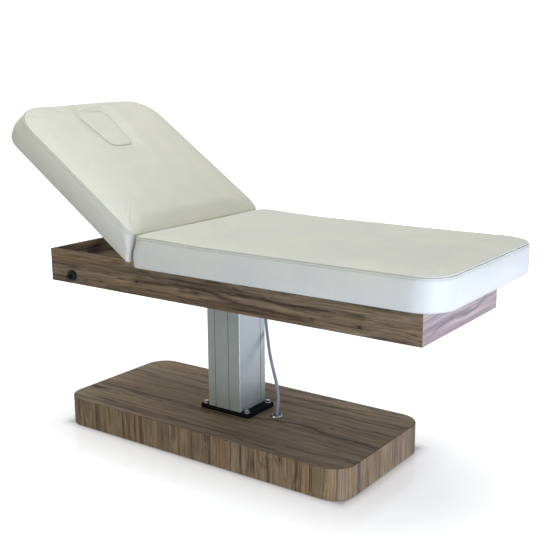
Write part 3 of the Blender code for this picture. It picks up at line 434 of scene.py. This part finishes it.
# painted light: a yellower copy of the cream for the backrest and plug, offsetting the cool light that falls
# on them
cream_back_painted_light = leather("cream_leatherette_back_painted_light", (0.562, 0.560, 0.468))
dress(cream, "seat_cushion")
dress(cream_back_painted_light, "backrest_cushion", "face_plug")


# ------------------------------------------------------------------ lift cable

LIFT_ROUTE = [(0.2492, 0.0, 0.050), (0.2300, 0.0, 0.0505), (0.2070, 0.0, 0.060), (0.1905, 0.0, 0.080),
              (0.1870, 0.0, 0.114), (0.1900, 0.0020, 0.150), (0.1880, 0.0085, 0.190),
              (0.1740, 0.0200, 0.230), (0.1490, 0.0350, 0.275), (0.1175, 0.0560, 0.330),
              (0.0910, 0.0790, 0.385), (0.0680, 0.1010, 0.435), (0.0500, 0.1220, 0.485),
              (0.0410, 0.1420, 0.530), (0.0395, 0.1560, 0.562), (0.0400, 0.1600, 0.5912)]
LIFT_RADIUS = 0.006


def catmull_rom(points, samples):
    """Points along a centripetal Catmull-Rom curve through the given ones."""
    knots_in = [Vector(p) for p in points]
    knots_in = [2.0 * knots_in[0] - knots_in[1]] + knots_in + [2.0 * knots_in[-1] - knots_in[-2]]
    result = []
    for i in range(1, len(knots_in) - 2):
        p0, p1, p2, p3 = knots_in[i - 1:i + 3]
        t1 = (p1 - p0).length ** 0.5
        t2 = t1 + (p2 - p1).length ** 0.5
        t3 = t2 + (p3 - p2).length ** 0.5
        for step in range(samples):
            t = t1 + (t2 - t1) * step / samples
            a1 = p0 * ((t1 - t) / t1) + p1 * (t / t1)
            a2 = p1 * ((t2 - t) / (t2 - t1)) + p2 * ((t - t1) / (t2 - t1))
            a3 = p2 * ((t3 - t) / (t3 - t2)) + p3 * ((t - t2) / (t3 - t2))
            b1 = a1 * ((t2 - t) / t2) + a2 * (t / t2)
            b2 = a2 * ((t3 - t) / (t3 - t1)) + a3 * ((t - t1) / (t3 - t1))
            result.append(b1 * ((t2 - t) / (t2 - t1)) + b2 * ((t - t1) / (t2 - t1)))
    result.append(knots_in[-2])
    return result


def make_mesh(name, verts, faces, material, sharp=None):
    mesh = bpy.data.meshes.new(name)
    mesh.from_pydata([tuple(v) for v in verts], [], [tuple(int(i) for i in f) for f in faces])
    mesh.update()
    mesh.materials.append(material)
    made = bpy.data.objects.new(name, mesh)
    scene.collection.objects.link(made)
    mesh.shade_smooth()
    if sharp is not None:
        mesh.set_sharp_from_angle(angle=math.radians(sharp))
    return made


def tube_mesh(name, path, radius, sides, material):
    """A round tube with closed, flat ends along a path."""
    verts, faces = [], []
    across = Vector((0.0, 1.0, 0.0))
    count = len(path)
    for i, point in enumerate(path):
        ahead = (path[min(i + 1, count - 1)] - path[max(i - 1, 0)]).normalized()
        across = (across - ahead * across.dot(ahead)).normalized()
        up = ahead.cross(across)
        for j in range(sides):
            turn = 2.0 * math.pi * j / sides
            verts.append(point + (across * math.cos(turn) + up * math.sin(turn)) * radius)
    for i in range(count - 1):
        for j in range(sides):
            a, b = i * sides + j, i * sides + (j + 1) % sides
            faces.append((a, b, b + sides, a + sides))
    faces.append(tuple(reversed(range(sides))))
    faces.append(tuple(range((count - 1) * sides, count * sides)))
    return make_mesh(name, verts, faces, material, sharp=60.0)


lift_path = catmull_rom(LIFT_ROUTE, 8)
grey_sheath = sheath("grey_sheath", (0.235, 0.250, 0.285), 45.0)
lift_lead = tube_mesh("lift_lead", lift_path, LIFT_RADIUS, 20, grey_sheath)
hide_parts("lift_cable")
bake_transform(lift_lead)


# ------------------------------------------------------------------ cushions

def rounded_ring(x0, x1, half, radii, inset, count_x, count_y, count_c):
    """Points round a rounded rectangle, anticlockwise, starting at the middle of its first corner.

    radii are those of the corners (x0, -half), (x1, -half), (x1, half), (x0, half).
    """
    corners = [(x0 + inset, inset - half), (x1 - inset, inset - half), (x1 - inset, half - inset),
               (x0 + inset, half - inset)]
    turns = [math.pi, 1.5 * math.pi, 0.0, 0.5 * math.pi]
    signs = [(1, 1), (-1, 1), (-1, -1), (1, -1)]
    half_c = count_c // 2
    arcs = []
    for (cx, cy), radius, start, (sx, sy) in zip(corners, radii, turns, signs):
        r = max(radius - inset, 0.002)
        centre = (cx + sx * r, cy + sy * r)
        bearings = [start + 0.5 * math.pi * k / count_c for k in range(count_c + 1)]
        arcs.append([(centre[0] + r * math.cos(b), centre[1] + r * math.sin(b)) for b in bearings])
    points = []
    for side in range(4):
        here, ahead = arcs[side], arcs[(side + 1) % 4]
        count = count_x if side % 2 == 0 else count_y
        points += here[half_c:count_c]
        a, b = np.array(here[count_c]), np.array(ahead[0])
        points += [tuple(a + (b - a) * k / count) for k in range(count)]
        points += ahead[:half_c]
    return np.array(points)


def smooth(t):
    t = np.clip(t, 0.0, 1.0)
    return t * t * (3.0 - 2.0 * t)


SIDE_PROFILE = [(0.032, 0.0000), (0.014, 0.0000), (0.0060, 0.0012), (0.0016, 0.0052), (0.0000, 0.0120),
                (-0.0012, 0.0270), (-0.0018, 0.0440), (-0.0018, 0.0610), (-0.0013, 0.0770), (-0.0005, 0.0880),
                (0.0008, 0.0965), (0.0034, 0.1042), (0.0084, 0.1090), (0.0150, 0.1117), (0.0232, 0.1132),
                (0.0340, 0.1138)]
SEAM_LEVEL = 11
CREST = 0.1138


def levels_of(x0, x1, half, radii, roll, counts):
    """One ring of points (x, y, height) for each step of the side profile.

    roll is how much each corner's radius grows on the way up, where the leather rolls over.
    """
    rings = []
    for inset, height in SIDE_PROFILE:
        share = smooth((height - 0.04) / 0.06)
        plan = rounded_ring(x0, x1, half, [r + share * more for r, more in zip(radii, roll)], inset, *counts)
        rings.append(np.column_stack([plan, np.full(len(plan), height)]))
    return rings


def between(start, end, steps):
    """Rings between two others, neither included."""
    return [start + (end - start) * (k / (steps + 1.0)) for k in range(1, steps + 1)]


def grid_cap(rim, count_x, count_y):
    """A grid inside a rectangular rim whose points run anticlockwise from its first corner."""
    low, high = rim[0], rim[count_x + count_y]
    inner = []
    for j in range(1, count_y):
        for i in range(1, count_x):
            inner.append((low[0] + (high[0] - low[0]) * i / count_x,
                          low[1] + (high[1] - low[1]) * j / count_y, low[2]))
    total = len(rim)

    def index(i, j):
        if j == 0:
            return i
        if i == count_x:
            return count_x + j
        if j == count_y:
            return 2 * count_x + count_y - i
        if i == 0:
            return total - j
        return total + (j - 1) * (count_x - 1) + (i - 1)

    faces = [(index(i, j), index(i + 1, j), index(i + 1, j + 1), index(i, j + 1))
             for j in range(count_y) for i in range(count_x)]
    return np.array(inner), faces


def skin(levels, closed):
    """Faces between rings of equal count; closed joins the last ring to the first."""
    count = len(levels[0])
    pairs = len(levels) if closed else len(levels) - 1
    faces = []
    for k in range(pairs):
        a0, b0 = k * count, ((k + 1) % len(levels)) * count
        for i in range(count):
            j = (i + 1) % count
            faces.append((a0 + i, a0 + j, b0 + j, b0 + i))
    return faces


PRESSURE = 4.0
INFLATE_FRAMES = 14
CUSHION_SWELL, PLUG_SWELL = 0.0045, 0.0025       # the furthest that a point may move


def inflate(points, faces, pinned, cap):
    """Cloth under pressure, its seams and underside held; each point moves no further than cap."""
    mesh = bpy.data.meshes.new("inflating")
    mesh.from_pydata([tuple(p) for p in points], [], faces)
    mesh.update()
    held = bpy.data.objects.new("inflating", mesh)
    scene.collection.objects.link(held)
    group = held.vertex_groups.new(name="held")
    for i, weight in enumerate(pinned):
        if weight > 0.0:
            group.add([i], float(weight), "REPLACE")
    cloth = held.modifiers.new("cloth", "CLOTH")
    settings = cloth.settings
    settings.quality = 5
    settings.mass = 0.35
    settings.tension_stiffness = 40.0
    settings.compression_stiffness = 20.0
    settings.shear_stiffness = 12.0
    settings.bending_stiffness = 1.5
    settings.use_pressure = True
    settings.uniform_pressure_force = PRESSURE
    settings.vertex_group_mass = "held"
    settings.effector_weights.gravity = 0.0
    cloth.collision_settings.use_collision = False
    cloth.point_cache.frame_start = 1
    cloth.point_cache.frame_end = INFLATE_FRAMES
    for frame_number in range(1, INFLATE_FRAMES + 1):
        scene.frame_set(frame_number)
    final = held.evaluated_get(bpy.context.evaluated_depsgraph_get()).to_mesh()
    moved = np.zeros(len(points) * 3)
    final.vertices.foreach_get("co", moved)
    moved = moved.reshape(-1, 3) - points
    far = np.linalg.norm(moved, axis=1)
    limit = cap * np.tanh(far / cap) / np.maximum(far, 1e-9)
    held.to_mesh_clear()
    bpy.data.objects.remove(held)
    scene.frame_set(1)
    return points + moved * limit[:, None]


def refine(levels, first, last, steps):
    """Put more rings between levels first and last, on a smooth curve through them."""
    result = list(levels[:first])
    marks = {}
    for k in range(first, last):
        p0, p1, p2, p3 = levels[k - 1], levels[k], levels[k + 1], levels[k + 2]
        marks[k] = len(result)
        for step in range(steps):
            t = step / steps
            result.append(0.5 * (2 * p1 + (p2 - p0) * t + (2 * p0 - 5 * p1 + 4 * p2 - p3) * t * t
                                 + (3 * p1 - p0 - 3 * p2 + p3) * t ** 3))
    marks[last] = len(result)
    result += list(levels[last:])
    return result, marks


def ring_normals(levels, k):
    """Outward directions of ring k."""
    here = levels[k]
    around = np.roll(here, -1, axis=0) - np.roll(here, 1, axis=0)
    along = levels[k + 1] - levels[k - 1]
    normal = np.cross(around, along)
    return normal / np.maximum(np.linalg.norm(normal, axis=1), 1e-9)[:, None]


SEAM_DEPTH, SEAM_WIDTH = 0.0034, 0.0018
STITCH_BELOW, STITCH_DEPTH, STITCH_WIDTH = 0.0070, 0.0016, 0.0014
PUCKER = 0.0004


def bell(distance, width):
    """1 at no distance, falling smoothly to nothing a few widths away."""
    return math.exp(-(distance / width) ** 2)


def sew(levels, seam, low, high, fade):
    """Press the seam and its stitch line in, raise the band between them, and pucker both.

    fade is how much of it each point round the cushion gets.
    """
    travel = [0.0]
    for a, b in zip(levels[low:high], levels[low + 1:high + 1]):
        travel.append(travel[-1] + float(np.median(np.linalg.norm(b - a, axis=1))))
    origin = travel[seam - low]
    moved = [ring.copy() for ring in levels]
    shaded = np.zeros((len(levels), len(fade)))
    count = len(levels[0])
    for k in range(low, high + 1):
        d = travel[k - low] - origin
        groove = -SEAM_DEPTH * bell(d, SEAM_WIDTH)
        stitch = -STITCH_DEPTH * bell(d + STITCH_BELOW, STITCH_WIDTH)
        band = 0.0013 * bell(d + 0.5 * STITCH_BELOW, 0.0022) + 0.0011 * bell(d - 0.0045, 0.0024)
        # painted shade: how dark the seam groove and stitch line are painted
        shaded[k] = fade * (0.52 * bell(d, SEAM_WIDTH) + 0.42 * bell(d + STITCH_BELOW, 0.0015))
        near = bell(d + 0.4 * STITCH_BELOW, 0.011)
        waves = np.array([noise.noise(Vector((i * 0.83, d * 60.0, 3.7))) for i in range(count)])
        shift = groove + stitch + band + PUCKER * near * waves
        moved[k] = levels[k] + ring_normals(levels, k) * (shift * fade)[:, None]
    return moved, shaded.ravel()


def shade_seams(made, values):
    """Keep the depth in the seam on the mesh as painted seam shade, for the leather to read."""
    layer = made.data.attributes.new(SEAM_PAINTED_SHADE, "FLOAT", "POINT")
    layer.data.foreach_set("value", np.concatenate([values, np.zeros(len(made.data.vertices) - len(values))]))


def stitches(name, ring, normals, material, pitch=0.0068, length=0.0046, radius=0.00048):
    """Short threads along a closed line, each a small bent bar that dips at both ends."""
    closed = np.vstack([ring, ring[:1]])
    step = np.linalg.norm(np.diff(closed, axis=0), axis=1)
    travel = np.concatenate([[0.0], np.cumsum(step)])
    normal_loop = np.vstack([normals, normals[:1]])
    verts, faces = [], []
    sides, parts = 5, 5
    for k in range(int(travel[-1] / pitch)):
        start = k * pitch
        base = len(verts)
        for part in range(parts):
            t = part / (parts - 1.0)
            at = start + length * t
            place = np.array([np.interp(at, travel, closed[:, c]) for c in range(3)])
            up = np.array([np.interp(at, travel, normal_loop[:, c]) for c in range(3)])
            up /= np.linalg.norm(up)
            ahead = np.array([np.interp(at + 0.001, travel, closed[:, c]) for c in range(3)]) - place
            ahead /= max(np.linalg.norm(ahead), 1e-9)
            side = np.cross(up, ahead)
            arch = math.sin(math.pi * t)
            centre = place + up * (0.00085 * arch - 0.0006)
            r = radius * (0.45 + 0.55 * arch ** 0.5)
            for j in range(sides):
                turn = 2.0 * math.pi * j / sides
                verts.append(centre + (side * math.cos(turn) + up * math.sin(turn)) * r)
        for part in range(parts - 1):
            for j in range(sides):
                a, b = base + part * sides + j, base + part * sides + (j + 1) % sides
                faces.append((a, b, b + sides, a + sides))
        faces.append(tuple(base + j for j in reversed(range(sides))))
        faces.append(tuple(base + (parts - 1) * sides + j for j in range(sides)))
    return make_mesh(name, verts, faces, material)


def ripple(points, seed, amount, scale):
    """Slow unevenness of padded leather, along height only."""
    waves = np.array([noise.fractal(Vector((p[0] * scale, p[1] * scale, seed)), 0.9, 2.0, 3) for p in points])
    return waves * amount


def top_weight(points, x0, x1, half):
    """1 over the middle of the top, falling to 0 at its edges and below the crest."""
    edge = np.minimum(np.minimum(points[:, 0] - x0, x1 - points[:, 0]), half - np.abs(points[:, 1]))
    return smooth(edge / 0.09) * smooth((points[:, 2] - 0.1120) / 0.0015)


thread = sheath("cream_thread", (0.60, 0.59, 0.53), 200.0)


BOARD_SWEEP_HEIGHT = 0.0485              # above the underside, where the raised board comes closest
BOARD_SWEEP_RELIEF = 0.0065              # how far the seat's head end is hollowed there
UNDER_RINGS = 5                          # rings of the seat's underside, below its side profile


def build_seat():
    counts = (76, 40, 16)
    radii, roll = (0.022, 0.108, 0.108, 0.022), (0.026, 0.0, 0.0, 0.020)
    rings = levels_of(SEAT_HEAD_X, SEAT_FOOT_X, HALF_WIDTH, radii, roll, counts)
    across, along = counts[1] + counts[2], counts[0] + counts[2]
    margin = 0.115
    x = np.linspace(SEAT_HEAD_X + margin, SEAT_FOOT_X - margin, along + 1)
    y = np.linspace(margin - HALF_WIDTH, HALF_WIDTH - margin, across + 1)
    rim = np.array([(px, y[0]) for px in x] + [(x[-1], py) for py in y[1:]]
                   + [(px, y[-1]) for px in x[-2::-1]] + [(x[0], py) for py in y[-2:0:-1]])
    low_rim = np.column_stack([rim, np.zeros(len(rim))])
    high_rim = np.column_stack([rim, np.full(len(rim), CREST)])
    levels = [low_rim] + between(low_rim, rings[0], UNDER_RINGS - 1)
    levels += rings + between(rings[-1], high_rim, 6) + [high_rim]
    seam = UNDER_RINGS + SEAM_LEVEL
    count = len(rim)
    low_inner, low_faces = grid_cap(low_rim, along, across)
    high_inner, high_faces = grid_cap(high_rim, along, across)
    points = np.vstack(levels + [low_inner, high_inner])

    def face_list(level_count):
        faces = skin([levels[0]] * level_count, False)
        low_start = level_count * count
        high_start = low_start + len(low_inner)
        last = (level_count - 1) * count
        faces += [tuple(reversed([i if i < count else low_start + i - count for i in f])) for f in low_faces]
        faces += [tuple(last + i if i < count else high_start + i - count for i in f) for f in high_faces]
        return faces

    pinned = np.zeros(len(points))
    pinned[:count * (UNDER_RINGS + 3)] = 1.0
    pinned[seam * count:(seam + 1) * count] = 1.0
    pinned[len(levels) * count:len(levels) * count + len(low_inner)] = 1.0
    points = inflate(points, face_list(len(levels)), pinned, CUSHION_SWELL)
    levels = [points[k * count:(k + 1) * count] for k in range(len(levels))]
    inner = points[len(levels) * count:]
    levels, marks = refine(levels, 6, 19, 4)
    seam = marks[seam]
    plan = levels[seam]
    fade = smooth((plan[:, 0] - SEAT_HEAD_X - 0.004) / 0.020)
    levels, shaded = sew(levels, seam, marks[9], marks[19], fade)
    stitch_ring = marks[UNDER_RINGS + SEAM_LEVEL - 1] + 1
    line, line_up = levels[stitch_ring], ring_normals(levels, stitch_ring)
    points = np.vstack(levels + [inner])
    head_end = 1.0 - smooth((points[:, 0] - SEAT_HEAD_X) / 0.04)
    swept = np.exp(-((points[:, 2] - BOARD_SWEEP_HEIGHT) / 0.028) ** 2)
    inside = 1.0 - smooth((np.abs(points[:, 1]) - 0.355) / 0.02)
    points[:, 0] += BOARD_SWEEP_RELIEF * head_end * swept * inside
    top = top_weight(points, SEAT_HEAD_X, SEAT_FOOT_X, HALF_WIDTH)
    points[:, 2] += ripple(points, 5.1, 0.0011, 7.0) * top
    for array in (points, line):
        bulge = 0.0025 + 0.0055 * np.exp(-((array[:, 0] + 0.07) / 0.12) ** 2)
        array[:, 2] += bulge * smooth((array[:, 2] - 0.05) / 0.06) + UNDERSIDE
    seat = make_mesh("seat_pad", points, face_list(len(levels)), cream)
    shade_seams(seat, shaded)
    threads = stitches("seat_stitching", line, line_up, thread)
    for piece in (seat, threads):
        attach(piece, "tray")
    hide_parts("seat_cushion")


PLUG_CORNERS = [(-0.762, -0.0835), (-0.540, -0.0590), (-0.540, 0.0590), (-0.762, 0.0835)]
PLUG_RADII = [0.042, 0.034, 0.034, 0.034]
PLUG_MIDDLE = (-0.655, 0.0)
RECESS = 0.0100                          # how far the leather sinks round the plug
RECESS_REACH = 0.055
ARC_STEPS = 12                           # along each rounded corner of the plug


def plug_ring(angles, grow):
    """Where rays from the plug's middle meet its rounded outline, moved out by grow."""
    corners = [(x + grow * math.copysign(1.0, x - PLUG_MIDDLE[0]), y + grow * math.copysign(1.0, y))
               for x, y in PLUG_CORNERS]
    outline = []
    for i, corner in enumerate(corners):
        here = Vector(corner)
        back = (Vector(corners[i - 1]) - here).normalized()
        ahead = (Vector(corners[(i + 1) % 4]) - here).normalized()
        half = back.angle(ahead) / 2.0
        radius = max(PLUG_RADII[i] + grow, 0.004)
        centre = here + (back + ahead).normalized() * (radius / math.sin(half))
        arm = here + back * (radius / math.tan(half)) - centre
        for step in range(ARC_STEPS + 1):
            turn = (math.pi - 2.0 * half) * step / ARC_STEPS
            outline.append((centre.x + arm.x * math.cos(turn) - arm.y * math.sin(turn),
                            centre.y + arm.x * math.sin(turn) + arm.y * math.cos(turn)))
    outline = np.array(outline + outline[:1])
    middle = np.array(PLUG_MIDDLE)
    bearing = np.unwrap(np.arctan2(outline[:, 1], outline[:, 0] - middle[0]))
    radius = np.hypot(outline[:, 0] - middle[0], outline[:, 1])
    turn = bearing[0] + np.mod(angles - bearing[0], 2.0 * math.pi)
    distance = []
    for angle in turn:
        k = min(max(int(np.searchsorted(bearing, angle)) - 1, 0), len(outline) - 2)
        a, b = outline[k] - middle, outline[k + 1] - middle
        ray = np.array([math.cos(angle), math.sin(angle)])
        cross = ray[0] * (b[1] - a[1]) - ray[1] * (b[0] - a[0])
        reach = a[0] * (b[1] - a[1]) - a[1] * (b[0] - a[0])
        distance.append(reach / cross if abs(cross) > 1e-12 else radius[k])
    distance = np.array(distance)
    return np.column_stack([middle[0] + distance * np.cos(turn), middle[1] + distance * np.sin(turn)])


def to_row(points):
    """From the backrest's own frame, heights above its underside, to the row frame."""
    cos_a, sin_a = math.cos(BACK_ANGLE), math.sin(BACK_ANGLE)
    x, y, h = points[:, 0], points[:, 1], points[:, 2] + BACK_UNDERSIDE
    return np.column_stack([PIVOT[0] + x * cos_a + h * sin_a, y, PIVOT[2] - x * sin_a + h * cos_a])


def build_backrest():
    counts = (56, 44, 16)
    radii, roll = (0.122, 0.016, 0.016, 0.115), (0.034, 0.026, 0.016, 0.0)
    rings = levels_of(BACK_HEAD_X, BACK_HINGE_X, HALF_WIDTH, radii, roll, counts)
    count = len(rings[0])
    bearings = np.arctan2(rings[0][:, 1] - PLUG_MIDDLE[1], rings[0][:, 0] - PLUG_MIDDLE[0])

    def hole(grow, height):
        plan = plug_ring(bearings, grow)
        return np.column_stack([plan, np.full(count, height)])

    lip = [hole(0.0180, CREST), hole(0.0100, CREST), hole(0.0050, CREST - 0.0003),
           hole(0.0024, CREST - 0.0012), hole(0.0012, CREST - 0.0036), hole(0.0010, CREST - 0.010)]
    wall = [hole(0.0012, h) for h in (0.070, 0.045, 0.020, 0.004)] + [hole(0.0035, 0.0), hole(0.012, 0.0)]
    over = between(rings[-1], lip[0], 26)
    under = between(wall[-1], rings[0], 26)
    levels = under + rings + over + lip + wall
    seam = len(under) + SEAM_LEVEL
    pinned = np.zeros(len(levels) * count)
    free_from, free_to = len(under) + 3, len(levels) - len(wall) - 4
    pinned[:free_from * count] = 1.0
    pinned[free_to * count:] = 1.0
    pinned[seam * count:(seam + 1) * count] = 1.0
    points = inflate(np.vstack(levels), skin(levels, True), pinned, CUSHION_SWELL)
    levels = [points[k * count:(k + 1) * count] for k in range(len(levels))]
    first = len(under) + 1
    levels, marks = refine(levels, first, first + 13, 4)
    seam = marks[seam]
    fade = smooth((BACK_HINGE_X - 0.004 - levels[seam][:, 0]) / 0.020)
    levels, shaded = sew(levels, seam, marks[first + 3], marks[first + 13], fade)
    stitch_ring = marks[len(under) + SEAM_LEVEL - 1] + 1
    line, line_up = levels[stitch_ring], ring_normals(levels, stitch_ring)
    points = np.vstack(levels)
    top = top_weight(points, BACK_HEAD_X, BACK_HINGE_X, HALF_WIDTH)
    points[:, 2] += ripple(points, 9.4, 0.0012, 7.0) * top
    bearing = np.arctan2(points[:, 1] - PLUG_MIDDLE[1], points[:, 0] - PLUG_MIDDLE[0])
    edge = plug_ring(bearing, 0.0) - np.array(PLUG_MIDDLE)
    clear = (np.hypot(points[:, 0] - PLUG_MIDDLE[0], points[:, 1] - PLUG_MIDDLE[1])
             - np.hypot(edge[:, 0], edge[:, 1]))
    points[:, 2] -= RECESS * (1.0 - smooth(clear / RECESS_REACH)) * smooth((points[:, 2] - 0.06) / 0.04)
    shaped = []
    for array in (points, line):
        array[:, 2] -= 0.0065 * smooth((array[:, 0] + 0.105) / 0.085) * smooth((array[:, 2] - 0.05) / 0.05)
        hinge = smooth((array[:, 0] + 0.26) / 0.23)
        array[:, 0] -= 0.41 * array[:, 2] * hinge
        head = smooth((-0.60 - array[:, 0]) / 0.20)
        dip = np.exp(-((array[:, 1] + 0.17) / 0.15) ** 2)
        rise = np.exp(-((array[:, 1] - 0.21) / 0.13) ** 2)
        array[:, 0] += head * (0.009 * dip - 0.004 * rise)
        shaped.append(to_row(array))
    turned = np.array(Matrix.Rotation(BACK_ANGLE, 3, "Y"))
    pad = make_mesh("backrest_pad", shaped[0], skin(levels, True), cream_back_painted_light)
    shade_seams(pad, shaded)
    threads = stitches("backrest_stitching", shaped[1], line_up @ turned.T, thread)
    for piece in (pad, threads):
        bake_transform(piece)
    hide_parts("backrest_cushion")


def build_plug():
    count = 144
    angles = np.linspace(-math.pi, math.pi, count, endpoint=False)
    top = CREST - RECESS + 0.0010

    def ring(grow, height):
        return np.column_stack([plug_ring(angles, grow), np.full(count, height)])

    low = 0.0182
    levels = [ring(-0.020, low), ring(-0.006, low), ring(-0.0012, 0.0200), ring(0.0, 0.0260),
              ring(0.0004, 0.045), ring(0.0004, 0.070), ring(0.0005, top - 0.008),
              ring(0.0004, top - 0.0028), ring(-0.0008, top - 0.0010), ring(-0.0036, top - 0.0002),
              ring(-0.0110, top)]
    middle = np.array([PLUG_MIDDLE[0], PLUG_MIDDLE[1]])
    for base, sign in ((levels[-1], 1), (levels[0], -1)):
        extra = []
        for k in range(1, 9):
            plan = base[:, :2] + (middle - base[:, :2]) * (k / 9.0)
            extra.append(np.column_stack([plan, base[:, 2]]))
        levels = levels + extra if sign == 1 else extra[::-1] + levels
    points = np.vstack(levels + [[[*middle, low]], [[*middle, top]]])
    faces = skin(levels, False)
    bottom, crown = len(points) - 2, len(points) - 1
    last = (len(levels) - 1) * count
    for i in range(count):
        j = (i + 1) % count
        faces.append((bottom, j, i))
        faces.append((crown, last + i, last + j))
    pinned = np.zeros(len(points))
    pinned[:17 * count] = 1.0
    pinned[bottom] = 1.0
    points = inflate(points, faces, pinned, PLUG_SWELL)
    lift = smooth((points[:, 2] - 0.06) / 0.04)
    tilt = 0.010 * (points[:, 0] - middle[0]) - 0.012 * (points[:, 1])
    points[:, 2] += lift * tilt
    plug = make_mesh("face_plug_pad", to_row(points), faces, cream_back_painted_light)
    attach(plug, "plug")
    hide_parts("face_plug")


build_seat()
build_backrest()
build_plug()


# ------------------------------------------------------------------ floor, light

# painted contact shadow: the floor's glow is dimmed round the plinth
PLINTH_HALF = (0.640, 0.277)             # the floor darkens beside a box of this half size


def stage_floor():
    """A white sweep that glows a little, more so far away, so that it has no horizon, and less right round
    the plinth, as a painted contact shadow.
    """
    s = Surface("studio_floor")
    grain = s.noise(s.coords, 3.0, 2.0)
    x, y, _ = s.split(s.coords)
    glow = s.ramp(s.math("DIVIDE", s.hypot(x, y), 6.0, clamp=True), [(0.15, 0.50), (0.55, 1.05)])
    over_x, over_y = (s.math("MAXIMUM", s.math("SUBTRACT", s.math("ABSOLUTE", value), half), 0.0)
                      for value, half in zip((x, y), PLINTH_HALF))
    # painted contact shadow: the glow dims close round the plinth
    painted_contact_shadow = s.ramp(s.math("DIVIDE", s.hypot(over_x, over_y), 0.20, clamp=True),
                     [(0.0, 0.0), (0.08, 0.45), (0.24, 0.84), (0.8, 1.0)])
    glow = s.mix(1.0, glow, painted_contact_shadow, "MULTIPLY")
    s.finish(Base_Color=s.ramp(grain, [(0.3, 0.76), (0.7, 0.78)]), Roughness=0.10, Specular_IOR_Level=0.9,
             Emission_Color=glow, Emission_Strength=1.0)
    size, level = 60.0, -0.0004
    corners = [(-size, -size, level), (size, -size, level), (size, size, level), (-size, size, level)]
    floor = make_mesh("studio_floor", corners, [(0, 1, 2, 3)], s.material)
    floor.visible_glossy = False
    floor.visible_diffuse = False
    floor.visible_shadow = False


def area_light(name, place, aim, size, power, colour, sheen_only=False):
    data = bpy.data.lights.new(name, "AREA")
    data.shape = "RECTANGLE"
    data.size, data.size_y = size
    data.energy = power
    data.color = colour
    lamp = bpy.data.objects.new(name, data)
    scene.collection.objects.link(lamp)
    lamp.visible_diffuse = not sheen_only
    direction = Vector(aim) - Vector(place)
    lamp.matrix_world = Matrix.Translation(place) @ direction.to_track_quat("-Z", "Y").to_matrix().to_4x4()


def studio_world():
    world = bpy.data.worlds.new("studio")
    world.use_nodes = True
    tree = world.node_tree
    back = tree.nodes["Background"]
    back.inputs[0].default_value = (0.93, 0.96, 1.0, 1.0)
    back.inputs[1].default_value = 0.45
    seen = tree.nodes.new("ShaderNodeBackground")
    seen.inputs[0].default_value = (1.0, 1.0, 1.0, 1.0)
    seen.inputs[1].default_value = 1.02
    mix = tree.nodes.new("ShaderNodeMixShader")
    path = tree.nodes.new("ShaderNodeLightPath")
    tree.links.new(path.outputs["Is Camera Ray"], mix.inputs[0])
    tree.links.new(back.outputs[0], mix.inputs[1])
    tree.links.new(seen.outputs[0], mix.inputs[2])
    tree.links.new(mix.outputs[0], tree.nodes["World Output"].inputs[0])
    scene.world = world


stage_floor()
studio_world()
area_light("key_foot", (4.0, -1.7, -0.2), (0.9, 0.0, 0.6), (2.6, 2.2), 240.0, (0.67, 0.735, 1.0))
area_light("soft_near", (-1.6, -5.0, 2.2), (0.0, 0.0, 0.6), (4.0, 3.0), 48.0, (1.0, 0.955, 0.80))
area_light("soft_top", (-0.6, 0.6, 6.5), (0.1, 0.0, 0.8), (6.0, 6.0), 312.0, (1.0, 1.0, 0.98))
area_light("sheen_foot", (2.5, 3.6, -0.4), (0.9, 0.0, 0.6), (2.5, 1.6), 34.0, (0.80, 0.78, 1.0), True)
scene.view_settings.view_transform = "Standard"
